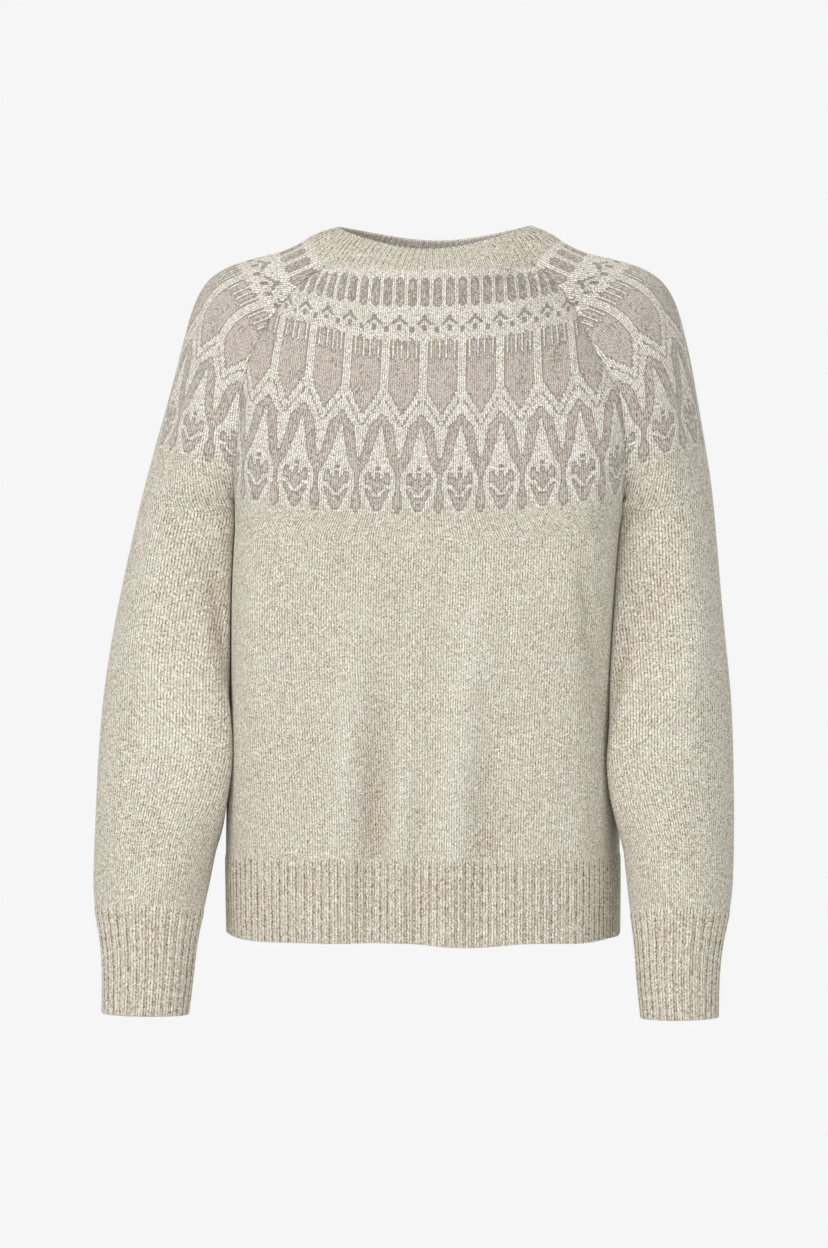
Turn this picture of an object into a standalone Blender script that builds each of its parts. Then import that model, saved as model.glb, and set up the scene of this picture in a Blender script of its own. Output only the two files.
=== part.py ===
"""Nordic yoke sweater: a knitted raglan pullover that keeps its worn shape with nobody in it.

Millimetres in the tables, metres in the meshes. +X is the wearer's left, -Y the front, +Z up.
The origin lies between the two shoulder points of the neck edge, on the neck's axis.

Every panel is a wall of knit. Its outer points come from one surface function of two numbers,
the height of a course at its seam and the place across the course. The inner points lie one
wall below them. Where two panels meet they share the seam's mean normal, so the walls are
mitred there and stand SEAM_GAP apart.
"""

import bpy
import numpy as np

MM = 0.001
NAME = "nordic_yoke_sweater"

# Knit
WALL = 2.6
RIB_RISE = 0.9
RIB_DIP = 0.4
SEAM_GAP = 0.3
MITRE_LIMIT = 1.5

# Heights of the courses where they reach a seam
NECK_FRONT = -26.0
NECK_BACK = -10.0
UNDERARM = -250.0
RIB_TOP = -530.0
HEM = -603.0
CUFF_TOP = -575.0
CUFF_END = -664.0

# Faces along each panel
RAGLAN_ROWS = 14
CROWDING = 1.3
BODY_ROWS = 14
ARM_ROWS = 16
FRONT_COLUMNS = 32
BACK_COLUMNS = 20
SLEEVE_COLUMNS = 24
HEM_INNER_FRONT = 40
HEM_INNER_BACK = 26
CUFF_INNER = 14
BAND_INNER = 40
HEM_ROWS = 2
CUFF_ROWS = 3
BAND_ROWS = 3

STEP = 0.4  # of a millimetre or a thousandth of a course, for slopes
SHARP = 38.0  # degrees
WOOL = (0.47, 0.39, 0.30)
WOOL_ROUGHNESS = 0.9


def table(names, *rows):
    """Named columns from one row for each section."""
    return dict(zip(names.split(), np.array(rows, float).T))


# Torso sections, front half. A course is an arc from seam to seam: half width and depth of its
# ellipse, how far the centre front stands forward, the angle at which the seam cuts the arc,
# and how far the course hangs lower at centre front than at the seam.
FRONT = table(
    "height  half   forward depth  cut   sag",
    (-26.0,  105.0,  96.0,  90.0, 59.0,  8.0),
    (-43.0,  130.5, 102.5,  86.0, 58.0, 14.0),
    (-61.0,  147.5, 107.0,  85.0, 57.5, 19.0),
    (-85.0,  161.5, 112.0,  84.0, 58.5, 23.0),
    (-117.0, 172.5, 117.0,  83.0, 62.5, 24.0),
    (-143.0, 176.5, 119.5,  83.0, 65.5, 24.0),
    (-176.0, 174.5, 121.5,  87.0, 70.0, 22.0),
    (-213.0, 171.5, 122.5,  98.0, 75.5, 19.0),
    (-235.0, 169.0, 122.0, 110.0, 81.0, 16.0),
    (-250.0, 168.5, 122.0, 122.0, 90.0, 14.0),
    (-300.0, 168.0, 122.0, 122.0, 90.0, 10.0),
    (-400.0, 167.5, 121.0, 121.0, 90.0,  5.0),
    (-480.0, 169.5, 119.0, 119.0, 90.0,  2.0),
    (-530.0, 170.5, 117.0, 117.0, 90.0,  0.0),
    (-603.0, 170.0, 117.0, 117.0, 90.0,  0.0),
)

# The same for the back half. Its heights run to the same underarm.
BACK = table(
    "height  half   forward depth  cut   sag",
    (-10.0,  110.0,  80.0,  78.5, 45.0,  8.0),
    (-40.0,  134.0,  91.0,  72.0, 53.0, 12.0),
    (-70.0,  153.0,  99.0,  68.0, 58.0, 14.0),
    (-100.0, 166.0, 105.0,  67.0, 61.5, 14.0),
    (-140.0, 172.0, 109.0,  67.0, 66.0, 13.0),
    (-176.0, 171.0, 111.0,  70.0, 70.5, 11.0),
    (-213.0, 169.0, 111.5,  83.0, 76.5,  9.0),
    (-235.0, 168.7, 111.0,  97.0, 82.0,  8.0),
    (-250.0, 168.5, 111.0, 111.0, 90.0,  7.0),
    (-300.0, 168.0, 111.0, 111.0, 90.0,  5.0),
    (-400.0, 167.5, 109.0, 109.0, 90.0,  2.0),
    (-480.0, 169.5, 107.0, 107.0, 90.0,  1.0),
    (-530.0, 170.5, 106.0, 106.0, 90.0,  0.0),
    (-603.0, 170.0, 106.0, 106.0, 90.0,  0.0),
)

# Sleeve sections, named by the height of their course at the front seam or the inner line:
# the outer line, how far the course turns from there to the seam, and half its depth.
SLEEVE = table(
    "height  top_x  top_z  turn   deep  axis_y tilt",
    (-26.0,  110.5,   1.0,  32.0, 101.0,  0.0,  0.0),
    (-42.0,  128.5,  -8.3,  36.0, 100.0,  0.0,  0.0),
    (-60.0,  155.0, -15.3,  40.0, 98.0,   0.5,  0.0),
    (-80.0,  182.0, -24.2,  46.0, 93.0,   1.0,  0.0),
    (-96.0,  199.0, -36.5,  54.0, 84.5,   1.5,  0.0),
    (-112.0, 210.0, -56.0,  64.0, 77.0,   2.0,  0.0),
    (-128.0, 216.5, -77.5,  76.0, 73.0,   2.0,  0.0),
    (-150.0, 223.5, -107.0, 94.0, 71.0,   2.0,  0.0),
    (-175.0, 231.0, -141.5, 109.0, 71.0,  2.0,  0.0),
    (-200.0, 238.5, -175.0, 122.0, 71.0,  1.5,  0.0),
    (-225.0, 245.7, -209.0, 142.0, 72.0,  1.0,  0.0),
    (-250.0, 251.3, -243.0, 180.0, 73.0,  -2.0,  1.0),
    (-300.0, 258.6, -295.0, 180.0, 69.0, -10.0,  4.0),
    (-350.0, 265.3, -346.0, 180.0, 64.0, -19.0,  8.0),
    (-400.0, 270.8, -397.0, 180.0, 58.0, -28.0, 11.0),
    (-450.0, 273.3, -448.0, 180.0, 52.5, -38.0, 12.0),
    (-500.0, 273.8, -498.0, 180.0, 48.0, -50.0, 10.5),
    (-540.0, 273.4, -538.0, 180.0, 45.0, -61.0,  8.0),
    (-575.0, 270.6, -573.0, 180.0, 41.0, -73.0,  5.5),
    (-602.0, 264.6, -600.5, 180.0, 36.0, -81.5,  4.0),
    (-625.0, 261.5, -623.5, 180.0, 32.0, -89.0,  3.0),
    (-664.0, 260.0, -663.0, 180.0, 28.0, -100.0, 1.5),
)

# The sleeve's line next to the body, below the underarm.
INNER = table(
    "height  x      y",
    (-250.0, 168.5,   0.0),
    (-265.0, 169.7,  -4.0),
    (-300.0, 169.6, -12.0),
    (-350.0, 168.0, -24.0),
    (-400.0, 166.8, -35.0),
    (-435.0, 166.3, -44.0),
    (-475.0, 168.3, -53.0),
    (-500.0, 170.8, -58.0),
    (-530.0, 175.0, -64.0),
    (-575.0, 181.6, -75.0),
    (-602.0, 186.0, -82.5),
    (-625.0, 188.0, -89.0),
    (-664.0, 191.6, -100.0),
)

# The garment hangs a little to the wearer's right, and the sleeves swing with it. The skew
# moves both raglan seams of a course to one side, and leaves its middle.
LEAN = table(
    "height  x",
    (60.0,   -1.0),
    (-60.0,  -1.5),
    (-129.0, -3.0),
    (-180.0, -5.0),
    (-230.0, -6.5),
    (-300.0, -8.0),
    (-400.0, -8.8),
    (-680.0, -9.0),
)
SKEW = table(
    "height  x",
    (60.0,    0.0),
    (-26.0,   0.0),
    (-60.0,  -1.5),
    (-98.0,  -2.0),
    (-116.0,  0.5),
    (-140.0,  5.0),
    (-176.0,  7.0),
    (-227.0,  5.8),
    (-277.0,  3.4),
    (-350.0,  1.5),
    (-435.0,  0.0),
    (-680.0,  0.0),
)
SWING = table(
    "height  outer  inner",
    (60.0,    0.0,   0.0),
    (-200.0,  0.0,   0.0),
    (-260.0, -2.0,   0.0),
    (-330.0, -4.5,   0.5),
    (-400.0, -5.5,   2.5),
    (-450.0, -6.0,   3.0),
    (-500.0, -6.0,   1.5),
    (-570.0, -6.5,  -1.0),
    (-610.0, -6.5,  -2.0),
    (-680.0, -6.5,  -2.0),
)

# How far the cloth is filled out beside the armholes, where a sleeve and the body lie against
# each other: powers that square the corners of their sections, 1 for a plain ellipse.
FULLNESS = table(
    "height  front  back  sleeve",
    (60.0,   1.0,   1.0,  1.0),
    (-26.0,  1.0,   1.0,  1.0),
    (-60.0,  1.15,  1.0,  1.0),
    (-117.0, 1.7,   1.15, 0.85),
    (-176.0, 2.5,   1.4,  0.55),
    (-250.0, 3.0,   1.7,  0.4),
    (-330.0, 3.0,   1.7,  0.4),
    (-400.0, 2.7,   1.6,  0.45),
    (-480.0, 2.4,   1.5,  0.6),
    (-530.0, 2.1,   1.4,  0.8),
    (-580.0, 1.9,   1.3,  1.0),
    (-680.0, 1.8,   1.2,  1.0),
)

# How closely a sleeve leans on the body, as a share of the room between them, and the most
# that it takes up.
LEANING = table(
    "height  share",
    (60.0,   0.0),
    (-110.0, 0.0),
    (-176.0, 0.5),
    (-225.0, 1.0),
    (-300.0, 1.0),
    (-400.0, 1.0),
    (-450.0, 1.0),
    (-485.0, 0.7),
    (-525.0, 0.0),
    (-680.0, 0.0),
)
LEANING_MOST = 14.0
ROOM = 0.8
ARMPIT = -222.0
SEAM_EASE = 12.0

# The left shoulder hangs lower than the right one by twice the tilt, less and less down the arm.
SHOULDER_TILT = 1.6
TILT_FROM = -110.0
TILT_OVER = 80.0

# Neckband: its top edge as sums of cosines of the angle from centre front.
BAND_RADIUS = (75.5, 2.0, -7.5)
BAND_HEIGHT = (5.1, -10.7, -7.9)
BAND_ROUND = 1.2
NECK_SAMPLES = 60
BAND_RIBS = 100
HEM_RIBS_FRONT = 68
HEM_RIBS_BACK = 66
CUFF_RIBS = 30

# Large folds of the body: where the centre line starts and ends, measured from the middle of
# the front or back, half width and height of the ridge or trough, and where along it, as a
# share, it is highest. They fade in from the start and run on past an end at the hem.
FRONT_FOLDS = table(
    "x0     z0      x1     z1     half  high  peak",
    (-46.0, -270.0, -66.0, -603.0, 16.0,  6.0, 0.62),
    (-23.0, -320.0, -38.0, -603.0, 15.0, -7.5, 0.62),
    (-7.0,  -340.0, -15.0, -603.0, 14.0,  5.0, 0.65),
    (4.0,   -450.0,   1.0, -603.0, 12.0, -2.5, 0.80),
    (55.0,  -250.0,  26.0, -603.0, 17.0,  7.5, 0.60),
    (63.0,  -360.0,  60.0, -603.0, 16.0, -5.0, 0.65),
    (-138.0, -225.0, -136.0, -430.0, 12.0, 2.2, 0.50),
    (133.0, -430.0, 136.0, -603.0, 14.0,  2.2, 0.65),
    (133.0, -230.0, 162.0, -465.0, 10.0, -3.5, 0.50),
)
BACK_FOLDS = table(
    "x0     z0      x1     z1     half  high  peak",
    (-70.0, -300.0, -92.0, -603.0, 20.0,  4.5, 0.75),
    (-44.0, -350.0, -50.0, -603.0, 18.0, -5.0, 0.70),
    (-8.0,  -320.0,   2.0, -603.0, 20.0,  5.0, 0.70),
    (38.0,  -370.0,  46.0, -603.0, 18.0, -4.5, 0.75),
    (84.0,  -310.0,  96.0, -603.0, 20.0,  4.5, 0.70),
)

HEM_SHARE = 0.55  # of its height is left where a fold meets the hem
FOLD_FALL = 1.6

# Large folds of the sleeves: side (+1 wearer's left), course height and place around at both
# ends (0 front seam, 0.5 outer line, 1 back seam), half width around, height, peak.
ARM_FOLDS = table(
    "side   h0      a0    h1      a1    half   high  peak",
    (-1.0, -232.0,  0.24, -465.0, 0.030, 0.050, -5.5, 0.50),
    (-1.0, -290.0,  0.32, -540.0, 0.16,  0.070,  3.0, 0.55),
    (-1.0, -330.0,  0.74, -440.0, 0.92,  0.060, -3.5, 0.50),
    (1.0,  -228.0,  0.32, -490.0, 0.015, 0.050, -5.5, 0.50),
    (1.0,  -270.0,  0.40, -520.0, 0.19,  0.070,  3.0, 0.50),
    (1.0,  -385.0,  0.36, -450.0, 0.22,  0.045, -2.0, 0.50),
    (1.0,  -320.0,  0.76, -450.0, 0.90,  0.060, -3.5, 0.50),
)


def spline(knots, values, at):
    """A natural cubic spline through one value for each knot."""
    order = np.argsort(knots)
    knots, values = knots[order], values[order]
    gaps = np.diff(knots)
    count = len(knots)
    system, known = np.eye(count), np.zeros(count)
    slopes = np.diff(values) / gaps
    for i in range(1, count - 1):
        system[i, i - 1:i + 2] = gaps[i - 1], 2 * (gaps[i - 1] + gaps[i]), gaps[i]
        known[i] = 6 * (slopes[i] - slopes[i - 1])
    bend = np.linalg.solve(system, known)
    i = np.clip(np.searchsorted(knots, at, side="right") - 1, 0, count - 2)
    before, after, gap = at - knots[i], knots[i + 1] - at, gaps[i]
    return (
        (bend[i] * after**3 + bend[i + 1] * before**3) / (6 * gap)
        + (values[i] / gap - bend[i] * gap / 6) * after
        + (values[i + 1] / gap - bend[i + 1] * gap / 6) * before
    )


def read(rows, column, at):
    """A column of a table at any key of its first column."""
    key = next(iter(rows))
    return spline(rows[key], rows[column], np.asarray(at, float))


def read_raglan(rows, column, at, below):
    """A column read above the underarm, and the value that it keeps from there down."""
    upper = {name: values[rows["height"] >= UNDERARM] for name, values in rows.items()}
    return np.where(at > UNDERARM, read(upper, column, at), below)


def along(start, end, peak, at):
    """Height of a fold along itself: 0 at its start, 1 at its peak, fading after it."""
    share = np.clip((at - start) / (end - start), 0.0, 1.0)
    rising = np.sin(0.5 * np.pi * np.clip(share / peak, 0.0, 1.0)) ** 2
    falling = np.cos(0.5 * np.pi * np.clip((share - peak) / (1.0 - peak), 0.0, 1.0)) ** 2
    to_hem = np.where(end <= HEM, HEM_SHARE + (1.0 - HEM_SHARE) * falling, falling)
    return share, rising * to_hem


def body_folds(folds, x, z):
    """Sum of the folds of the front or back at a place measured from its middle."""
    height = np.zeros(np.broadcast(x, z).shape)
    for x0, z0, x1, z1, half, high, peak in zip(*folds.values()):
        share, size = along(z0, z1, peak, z)
        off = (x - (x0 + (x1 - x0) * share)) / half
        height += high * size * np.exp(-FOLD_FALL * off * off)
    return height


def body_plain(rings, front, height, across):
    """Torso course without folds. across runs from -1 at the -X seam to 1 at the +X seam."""
    cut = np.radians(read_raglan(rings, "cut", height, 90.0))
    turn = across * cut
    forward = read(rings, "forward", height)
    depth = read_raglan(rings, "depth", height, forward)
    hang = (np.cos(turn) - np.cos(cut)) / (1.0 - np.cos(cut))
    skew = read(SKEW, "x", height) * (np.sin(turn) / np.sin(cut)) ** 2
    x = read(LEAN, "x", height) + skew + read(rings, "half", height) * np.sin(turn)
    full = read(FULLNESS, "front" if front < 0.0 else "back", height)
    y = front * (forward - depth * (1.0 - np.cos(turn)) ** full)
    z = height - read(rings, "sag", height) * hang
    return np.stack(np.broadcast_arrays(x, y, z), -1)


def body_side(side, height, y):
    """How far out the torso's course reaches where it is at y: body_plain solved for x."""
    x = 0.0
    for rings, front in ((FRONT, -1.0), (BACK, 1.0)):
        forward = read(rings, "forward", height)
        depth = read_raglan(rings, "depth", height, forward)
        full = read(FULLNESS, "front" if front < 0.0 else "back", height)
        share = np.clip((forward - front * y) / depth, 0.0, 1.0) ** (1.0 / full)
        sine = np.sqrt(1.0 - (1.0 - share) ** 2)
        reach = read(SKEW, "x", height) * sine**2 + side * read(rings, "half", height) * sine
        x = np.where(front * y > 0.0, read(LEAN, "x", height) + reach, x)
    return x


def sleeve_plain(side, height, around):
    """Sleeve course without folds, from the front seam (0) over the outer line to the back (1).

    Each half is an elliptical arc that starts at the outer line and turns to the seam.
    """
    share = np.minimum((height - NECK_FRONT) / (UNDERARM - NECK_FRONT), 1.0)
    back_height = NECK_BACK + share * (UNDERARM - NECK_BACK)
    is_front = around <= 0.5
    front_seam = body_plain(FRONT, -1.0, height, side)
    back_seam = body_plain(BACK, 1.0, back_height, side)
    seam = np.where(is_front[..., None], front_seam, back_seam)
    axis_y = read(SLEEVE, "axis_y", height)
    drift = read(LEAN, "x", height) + read(SKEW, "x", height) + read(SWING, "inner", height)
    inner_x = side * read(INNER, "x", height) + drift
    inner_y = read(INNER, "y", height)
    inner = np.stack(np.broadcast_arrays(inner_x, inner_y, height), -1)
    seam = np.where((height <= UNDERARM)[..., None], inner, seam)

    top_z = read(SLEEVE, "top_z", height)
    top_z = top_z - side * SHOULDER_TILT * np.clip((top_z - TILT_FROM) / TILT_OVER, 0.0, 1.0)
    drift = read(LEAN, "x", top_z) + read(SWING, "outer", top_z)
    top_x = side * read(SLEEVE, "top_x", height) + drift
    turn = np.radians(read_raglan(SLEEVE, "turn", height, 180.0))
    deep, tilt = read(SLEEVE, "deep", height), np.radians(read(SLEEVE, "tilt", height))
    way = np.abs(1.0 - 2.0 * around)
    facing = np.where(is_front, -1.0, 1.0)
    inward = (1.0 - np.cos(way * turn)) / (1.0 - np.cos(turn))
    full = np.where(is_front, read(FULLNESS, "sleeve", height), 1.0)
    swell = lambda angle: np.clip(np.sin(angle), 0.0, 1.0) ** np.where(angle > 0.5 * np.pi, full, 1.0)
    reach = deep * swell(way * turn)
    miss = (seam[..., 1] - axis_y) - facing * deep * swell(turn)
    x = top_x + (seam[..., 0] - top_x) * inward
    y = axis_y + facing * reach * np.cos(tilt) + miss * inward
    z = top_z + (seam[..., 2] - top_z) * inward - facing * reach * np.sin(tilt)

    from_seam = np.clip(np.abs(y - seam[..., 1]) / SEAM_EASE, 0.0, 1.0)
    under = np.clip((UNDERARM + 4.0 - height) / 4.0, 0.0, 3.0)
    near_body = np.clip((ARMPIT - height) / (ARMPIT - UNDERARM), 0.0, 1.0)
    apart = ROOM * np.maximum(under / 3.0, near_body * from_seam)
    room = side * (x - body_side(side, height, y)) - apart
    share = np.clip(read(LEANING, "share", height), 0.0, 1.0) * (way * turn > 0.5 * np.pi)
    share = share * np.maximum(under / 3.0, from_seam)
    taken = share * LEANING_MOST * np.tanh(np.maximum(room, 0.0) / LEANING_MOST)
    taken = taken * np.clip(2.0 * way * turn / np.pi - 1.0, 0.0, 1.0) ** 0.3
    pushed = np.minimum(room, 0.0) * np.maximum(np.minimum(under, 1.0), near_body * from_seam)
    x = x - side * (taken + pushed)
    return np.stack(np.broadcast_arrays(x, y, z), -1)


def arm_folds(side, height, around):
    """Sum of the folds of one sleeve."""
    total = np.zeros(np.broadcast(height, around).shape)
    for own_side, h0, a0, h1, a1, half, high, peak in zip(*ARM_FOLDS.values()):
        if own_side != side:
            continue
        share, size = along(h0, h1, peak, height)
        off = (around - (a0 + (a1 - a0) * share)) / half
        total += high * size * np.exp(-FOLD_FALL * off * off)
    return total


def outward(surface, height, place):
    """Unit normals of a surface function, by the slopes of its two families of curves."""
    across = surface(height, place + STEP * MM) - surface(height, place - STEP * MM)
    down = surface(height - STEP, place) - surface(height + STEP, place)
    normal = np.cross(down, across)
    return normal / np.linalg.norm(normal, axis=-1, keepdims=True)


def folded(plain, folds, flip):
    """A surface function with its folds raised along the plain surface's normals."""
    def surface(height, place):
        base = plain(height, place)
        return base + flip * outward(plain, height, place) * folds(height, place, base)[..., None]
    return surface


def front_surface(height, across):
    plain = lambda h, a: body_plain(FRONT, -1.0, h, a)
    rise = lambda h, a, at: body_folds(FRONT_FOLDS, at[..., 0] - read(LEAN, "x", h), at[..., 2])
    return folded(plain, rise, 1.0)(height, across)


def back_surface(height, across):
    plain = lambda h, a: body_plain(BACK, 1.0, h, a)
    rise = lambda h, a, at: body_folds(BACK_FOLDS, at[..., 0] - read(LEAN, "x", h), at[..., 2])
    return folded(plain, rise, -1.0)(height, across)


def sleeve_surface(side):
    plain = lambda h, a: sleeve_plain(side, h, a)
    rise = lambda h, a, at: arm_folds(side, h, a)
    return folded(plain, rise, side)


def grid(heights, places):
    return np.meshgrid(heights, places, indexing="ij")


def unit(vectors):
    return vectors / np.maximum(np.linalg.norm(vectors, axis=-1, keepdims=True), 1e-9)


def even_places(surface, height, start, end, count):
    """Places across one course that part it into equal lengths."""
    fine = np.linspace(start, end, 40 * count + 1)
    points = surface(np.full(fine.shape, height), fine)
    length = np.concatenate([[0.0], np.cumsum(np.linalg.norm(np.diff(points, axis=0), axis=1))])
    return np.interp(np.linspace(0.0, length[-1], count + 1), length, fine)


def raglan_heights(top):
    """Heights of the courses between the neck and the underarm, closer together near it."""
    left = 1.0 - np.arange(RAGLAN_ROWS + 1) / RAGLAN_ROWS
    return UNDERARM + (top - UNDERARM) * left**CROWDING


# ---- neck edge and neckband ----------------------------------------------------------------

def neck_edge():
    """The panels' neck edges as one ring by its angle from centre front, with their normals."""
    points, normals = [], []
    arcs = (
        (front_surface, NECK_FRONT, -1.0, 1.0, 1.0),
        (sleeve_surface(1.0), NECK_FRONT, 0.0, 1.0, 1.0),
        (back_surface, NECK_BACK, 1.0, -1.0, -1.0),
        (sleeve_surface(-1.0), NECK_FRONT, 1.0, 0.0, -1.0),
    )
    for surface, height, start, end, facing in arcs:
        place = np.linspace(start, end, NECK_SAMPLES, endpoint=False)
        h = np.full(place.shape, height)
        points.append(surface(h, place))
        normals.append(facing * outward(surface, h, place))
    points, normals = np.concatenate(points), np.concatenate(normals)
    angle = np.arctan2(points[:, 0], -points[:, 1])
    order = np.argsort(angle)
    angle, points, normals = angle[order], points[order], normals[order]
    turn = 2 * np.pi
    angle = np.concatenate([angle - turn, angle, angle + turn])
    return angle, np.tile(points, (3, 1)), np.tile(normals, (3, 1))


def ring_read(ring_angle, values, angle):
    return np.stack([np.interp(angle, ring_angle, values[:, i]) for i in range(3)], -1)


def cosines(parts, angle):
    return sum(size * np.cos(order * angle) for order, size in enumerate(parts))


def band_surface(ring):
    """The neckband between the neck edge (1) and its top edge (0), a little rounded."""
    ring_angle, points, _ = ring
    def surface(down, angle):
        base = ring_read(ring_angle, points, angle)
        radius = cosines(BAND_RADIUS, angle)
        x, y = radius * np.sin(angle), -radius * np.cos(angle)
        top = np.stack(np.broadcast_arrays(x, y, cosines(BAND_HEIGHT, angle)), -1)
        bulge = BAND_ROUND * np.sin(np.pi * np.clip(down, 0.0, 1.0))
        out = np.stack([np.sin(angle), -np.cos(angle), np.ones_like(angle)], -1) / np.sqrt(2.0)
        return top + (base - top) * down[..., None] + out * bulge[..., None]
    return surface


def band_normal(surface, down, angle):
    step = 0.01
    around = surface(down, angle + step) - surface(down, angle - step)
    rise = surface(down - step, angle) - surface(down + step, angle)
    return unit(np.cross(around, rise))


def neck_mean(points, ring):
    """Mean of the panels' and the neckband's normals at points of the neck edge."""
    ring_angle, _, normals = ring
    angle = np.arctan2(points[..., 0], -points[..., 1])
    own = unit(ring_read(ring_angle, normals, angle))
    band = band_normal(band_surface(ring), np.full(angle.shape, 1.0), angle)
    return unit(own + band)


# ---- panels --------------------------------------------------------------------------------

def seam_frame(points, body_normal, sleeve_normal, hand):
    """Mean normal and the direction across a raglan seam, towards the body.

    The cross product of the seam's own direction with the difference of the two normals points
    along their sum, and holds where the panels fold back to back at the underarm.
    """
    run = unit(np.gradient(points, axis=0))
    run[-1] = (0.0, hand[1], 0.0)
    turned = hand[0] * hand[1] * np.cross(run, body_normal - sleeve_normal)
    mean = unit(body_normal + sleeve_normal + turned)
    towards_body = hand[0] * hand[1] * np.cross(run, mean)
    return mean, towards_body


def mitred(mean, own):
    """Depth of the mitred wall along the mean normal."""
    lean = np.sum(mean * own, axis=-1, keepdims=True)
    return WALL * np.minimum(1.0 / np.maximum(lean, 1e-3), MITRE_LIMIT)


def body_panel(surface, front, neck, columns, ring):
    """Outer and inner points of the front or back, from the neck edge to the top of the rib."""
    heights = np.concatenate([
        raglan_heights(neck),
        np.linspace(UNDERARM, RIB_TOP + SEAM_GAP / 2, BODY_ROWS + 1)[1:],
    ])
    h, a = grid(heights, even_places(surface, -400.0, -1.0, 1.0, columns))
    outer = surface(h, a)
    normal = -front * outward(surface, h, a)
    depth = np.full(h.shape + (1,), WALL)
    shift = np.zeros_like(outer)
    seam_rows = slice(0, RAGLAN_ROWS + 1)
    for column, side in ((0, -1.0), (-1, 1.0)):
        seam_height = raglan_heights(NECK_FRONT)
        place = np.full(seam_height.shape, 0.0 if front < 0 else 1.0)
        other = side * outward(sleeve_surface(side), seam_height, place)
        own = normal[seam_rows, column]
        mean, inside = seam_frame(outer[seam_rows, column], own, other, (side, -front))
        normal[seam_rows, column] = mean
        depth[seam_rows, column] = mitred(mean, own)
        shift[seam_rows, column] += inside * SEAM_GAP / 2
        shift[RAGLAN_ROWS:, column, 1] += front * SEAM_GAP / 2
    return with_neck(outer, normal, depth, shift, ring)


def sleeve_panel(side, ring):
    """Outer and inner points of a sleeve, open above the underarm and a tube below it."""
    heights = np.concatenate([
        raglan_heights(NECK_FRONT),
        np.linspace(UNDERARM, CUFF_TOP + SEAM_GAP / 2, ARM_ROWS + 1)[1:],
    ])
    surface = sleeve_surface(side)
    h, a = grid(heights, np.linspace(0.0, 1.0, SLEEVE_COLUMNS + 1))
    outer = surface(h, a)
    normal = side * outward(surface, h, a)
    depth = np.full(h.shape + (1,), WALL)
    shift = np.zeros_like(outer)
    seam_rows = slice(0, RAGLAN_ROWS + 1)
    bodies = (
        (0, front_surface, -1.0, NECK_FRONT),
        (-1, back_surface, 1.0, NECK_BACK),
    )
    for column, body, front, neck in bodies:
        seam_height = raglan_heights(neck)
        other = -front * outward(body, seam_height, np.full(seam_height.shape, side))
        own = normal[seam_rows, column]
        mean, inside = seam_frame(outer[seam_rows, column], other, own, (side, -front))
        normal[seam_rows, column] = mean
        depth[seam_rows, column] = mitred(mean, own)
        shift[seam_rows, column] -= inside * SEAM_GAP / 2
    return with_neck(outer, normal, depth, shift, ring)


def with_neck(outer, normal, depth, shift, ring):
    """The neck row of a panel leans to the neckband and stands half a gap below it."""
    mean = neck_mean(outer[0], ring)
    depth[0] = mitred(mean, normal[0])
    normal[0] = mean
    shift[0] += unit(outer[1] - outer[0]) * SEAM_GAP / 2
    return outer + shift, outer + shift - normal * depth


def ribbed(surface, facing, heights, places, inner_places):
    """Outer points with a ridge at every other column, over a plain inside."""
    h, a = grid(heights, places)
    ridge = np.where(np.arange(len(places)) % 2 == 1, RIB_RISE, -RIB_DIP)
    outer = surface(h, a) + facing * outward(surface, h, a) * ridge[:, None]
    h, a = grid(heights, inner_places)
    inner = surface(h, a) - facing * outward(surface, h, a) * WALL
    return outer, inner


def hem_panel(surface, front, ribs, inner_columns):
    """Half of the hem's rib."""
    heights = np.linspace(RIB_TOP - SEAM_GAP / 2, HEM, HEM_ROWS + 1)
    middle = (RIB_TOP + HEM) / 2
    places = even_places(surface, middle, -1.0, 1.0, 2 * ribs)
    inner_places = even_places(surface, middle, -1.0, 1.0, inner_columns)
    outer, inner = ribbed(surface, -front, heights, places, inner_places)
    for layer in (outer, inner):
        layer[:, [0, -1], 1] += front * SEAM_GAP / 2
    return outer, inner


def cuff_panel(side):
    """The rib at the end of a sleeve, a tube."""
    surface = sleeve_surface(side)
    heights = np.linspace(CUFF_TOP - SEAM_GAP / 2, CUFF_END, CUFF_ROWS + 1)
    middle = (CUFF_TOP + CUFF_END) / 2
    places = even_places(surface, middle, 0.0, 1.0, 2 * CUFF_RIBS)
    inner_places = even_places(surface, middle, 0.0, 1.0, CUFF_INNER)
    return ribbed(surface, side, heights, places, inner_places)


def band_panel(ring):
    """The neckband: a ring of ribs from the top edge down to the neck edge."""
    surface = band_surface(ring)
    ring_angle, _, normals = ring
    fine = np.linspace(-np.pi, np.pi, 40 * BAND_RIBS + 1)
    middle = surface(np.full(fine.shape, 0.5), fine)
    length = np.concatenate([[0.0], np.cumsum(np.linalg.norm(np.diff(middle, axis=0), axis=1))])
    layers = []
    for columns in (2 * BAND_RIBS, BAND_INNER):
        angles = np.interp(np.linspace(0.0, length[-1], columns + 1), length, fine)
        down, angle = grid(np.linspace(0.0, 1.0, BAND_ROWS + 1), angles)
        points, normal = surface(down, angle), band_normal(surface, down, angle)
        own = normal[-1].copy()
        normal[-1] = unit(own + unit(ring_read(ring_angle, normals, angle[-1])))
        depth = np.full(down.shape + (1,), WALL)
        depth[-1] = mitred(normal[-1], own)
        points[-1] += unit(points[-2] - points[-1]) * SEAM_GAP / 2
        if columns == BAND_INNER:
            layers.append(points - normal * depth)
        else:
            ridge = np.where(np.arange(columns + 1) % 2 == 1, RIB_RISE, -RIB_DIP)
            layers.append(points + normal * ridge[:, None])
    return layers


# ---- meshes --------------------------------------------------------------------------------

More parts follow.
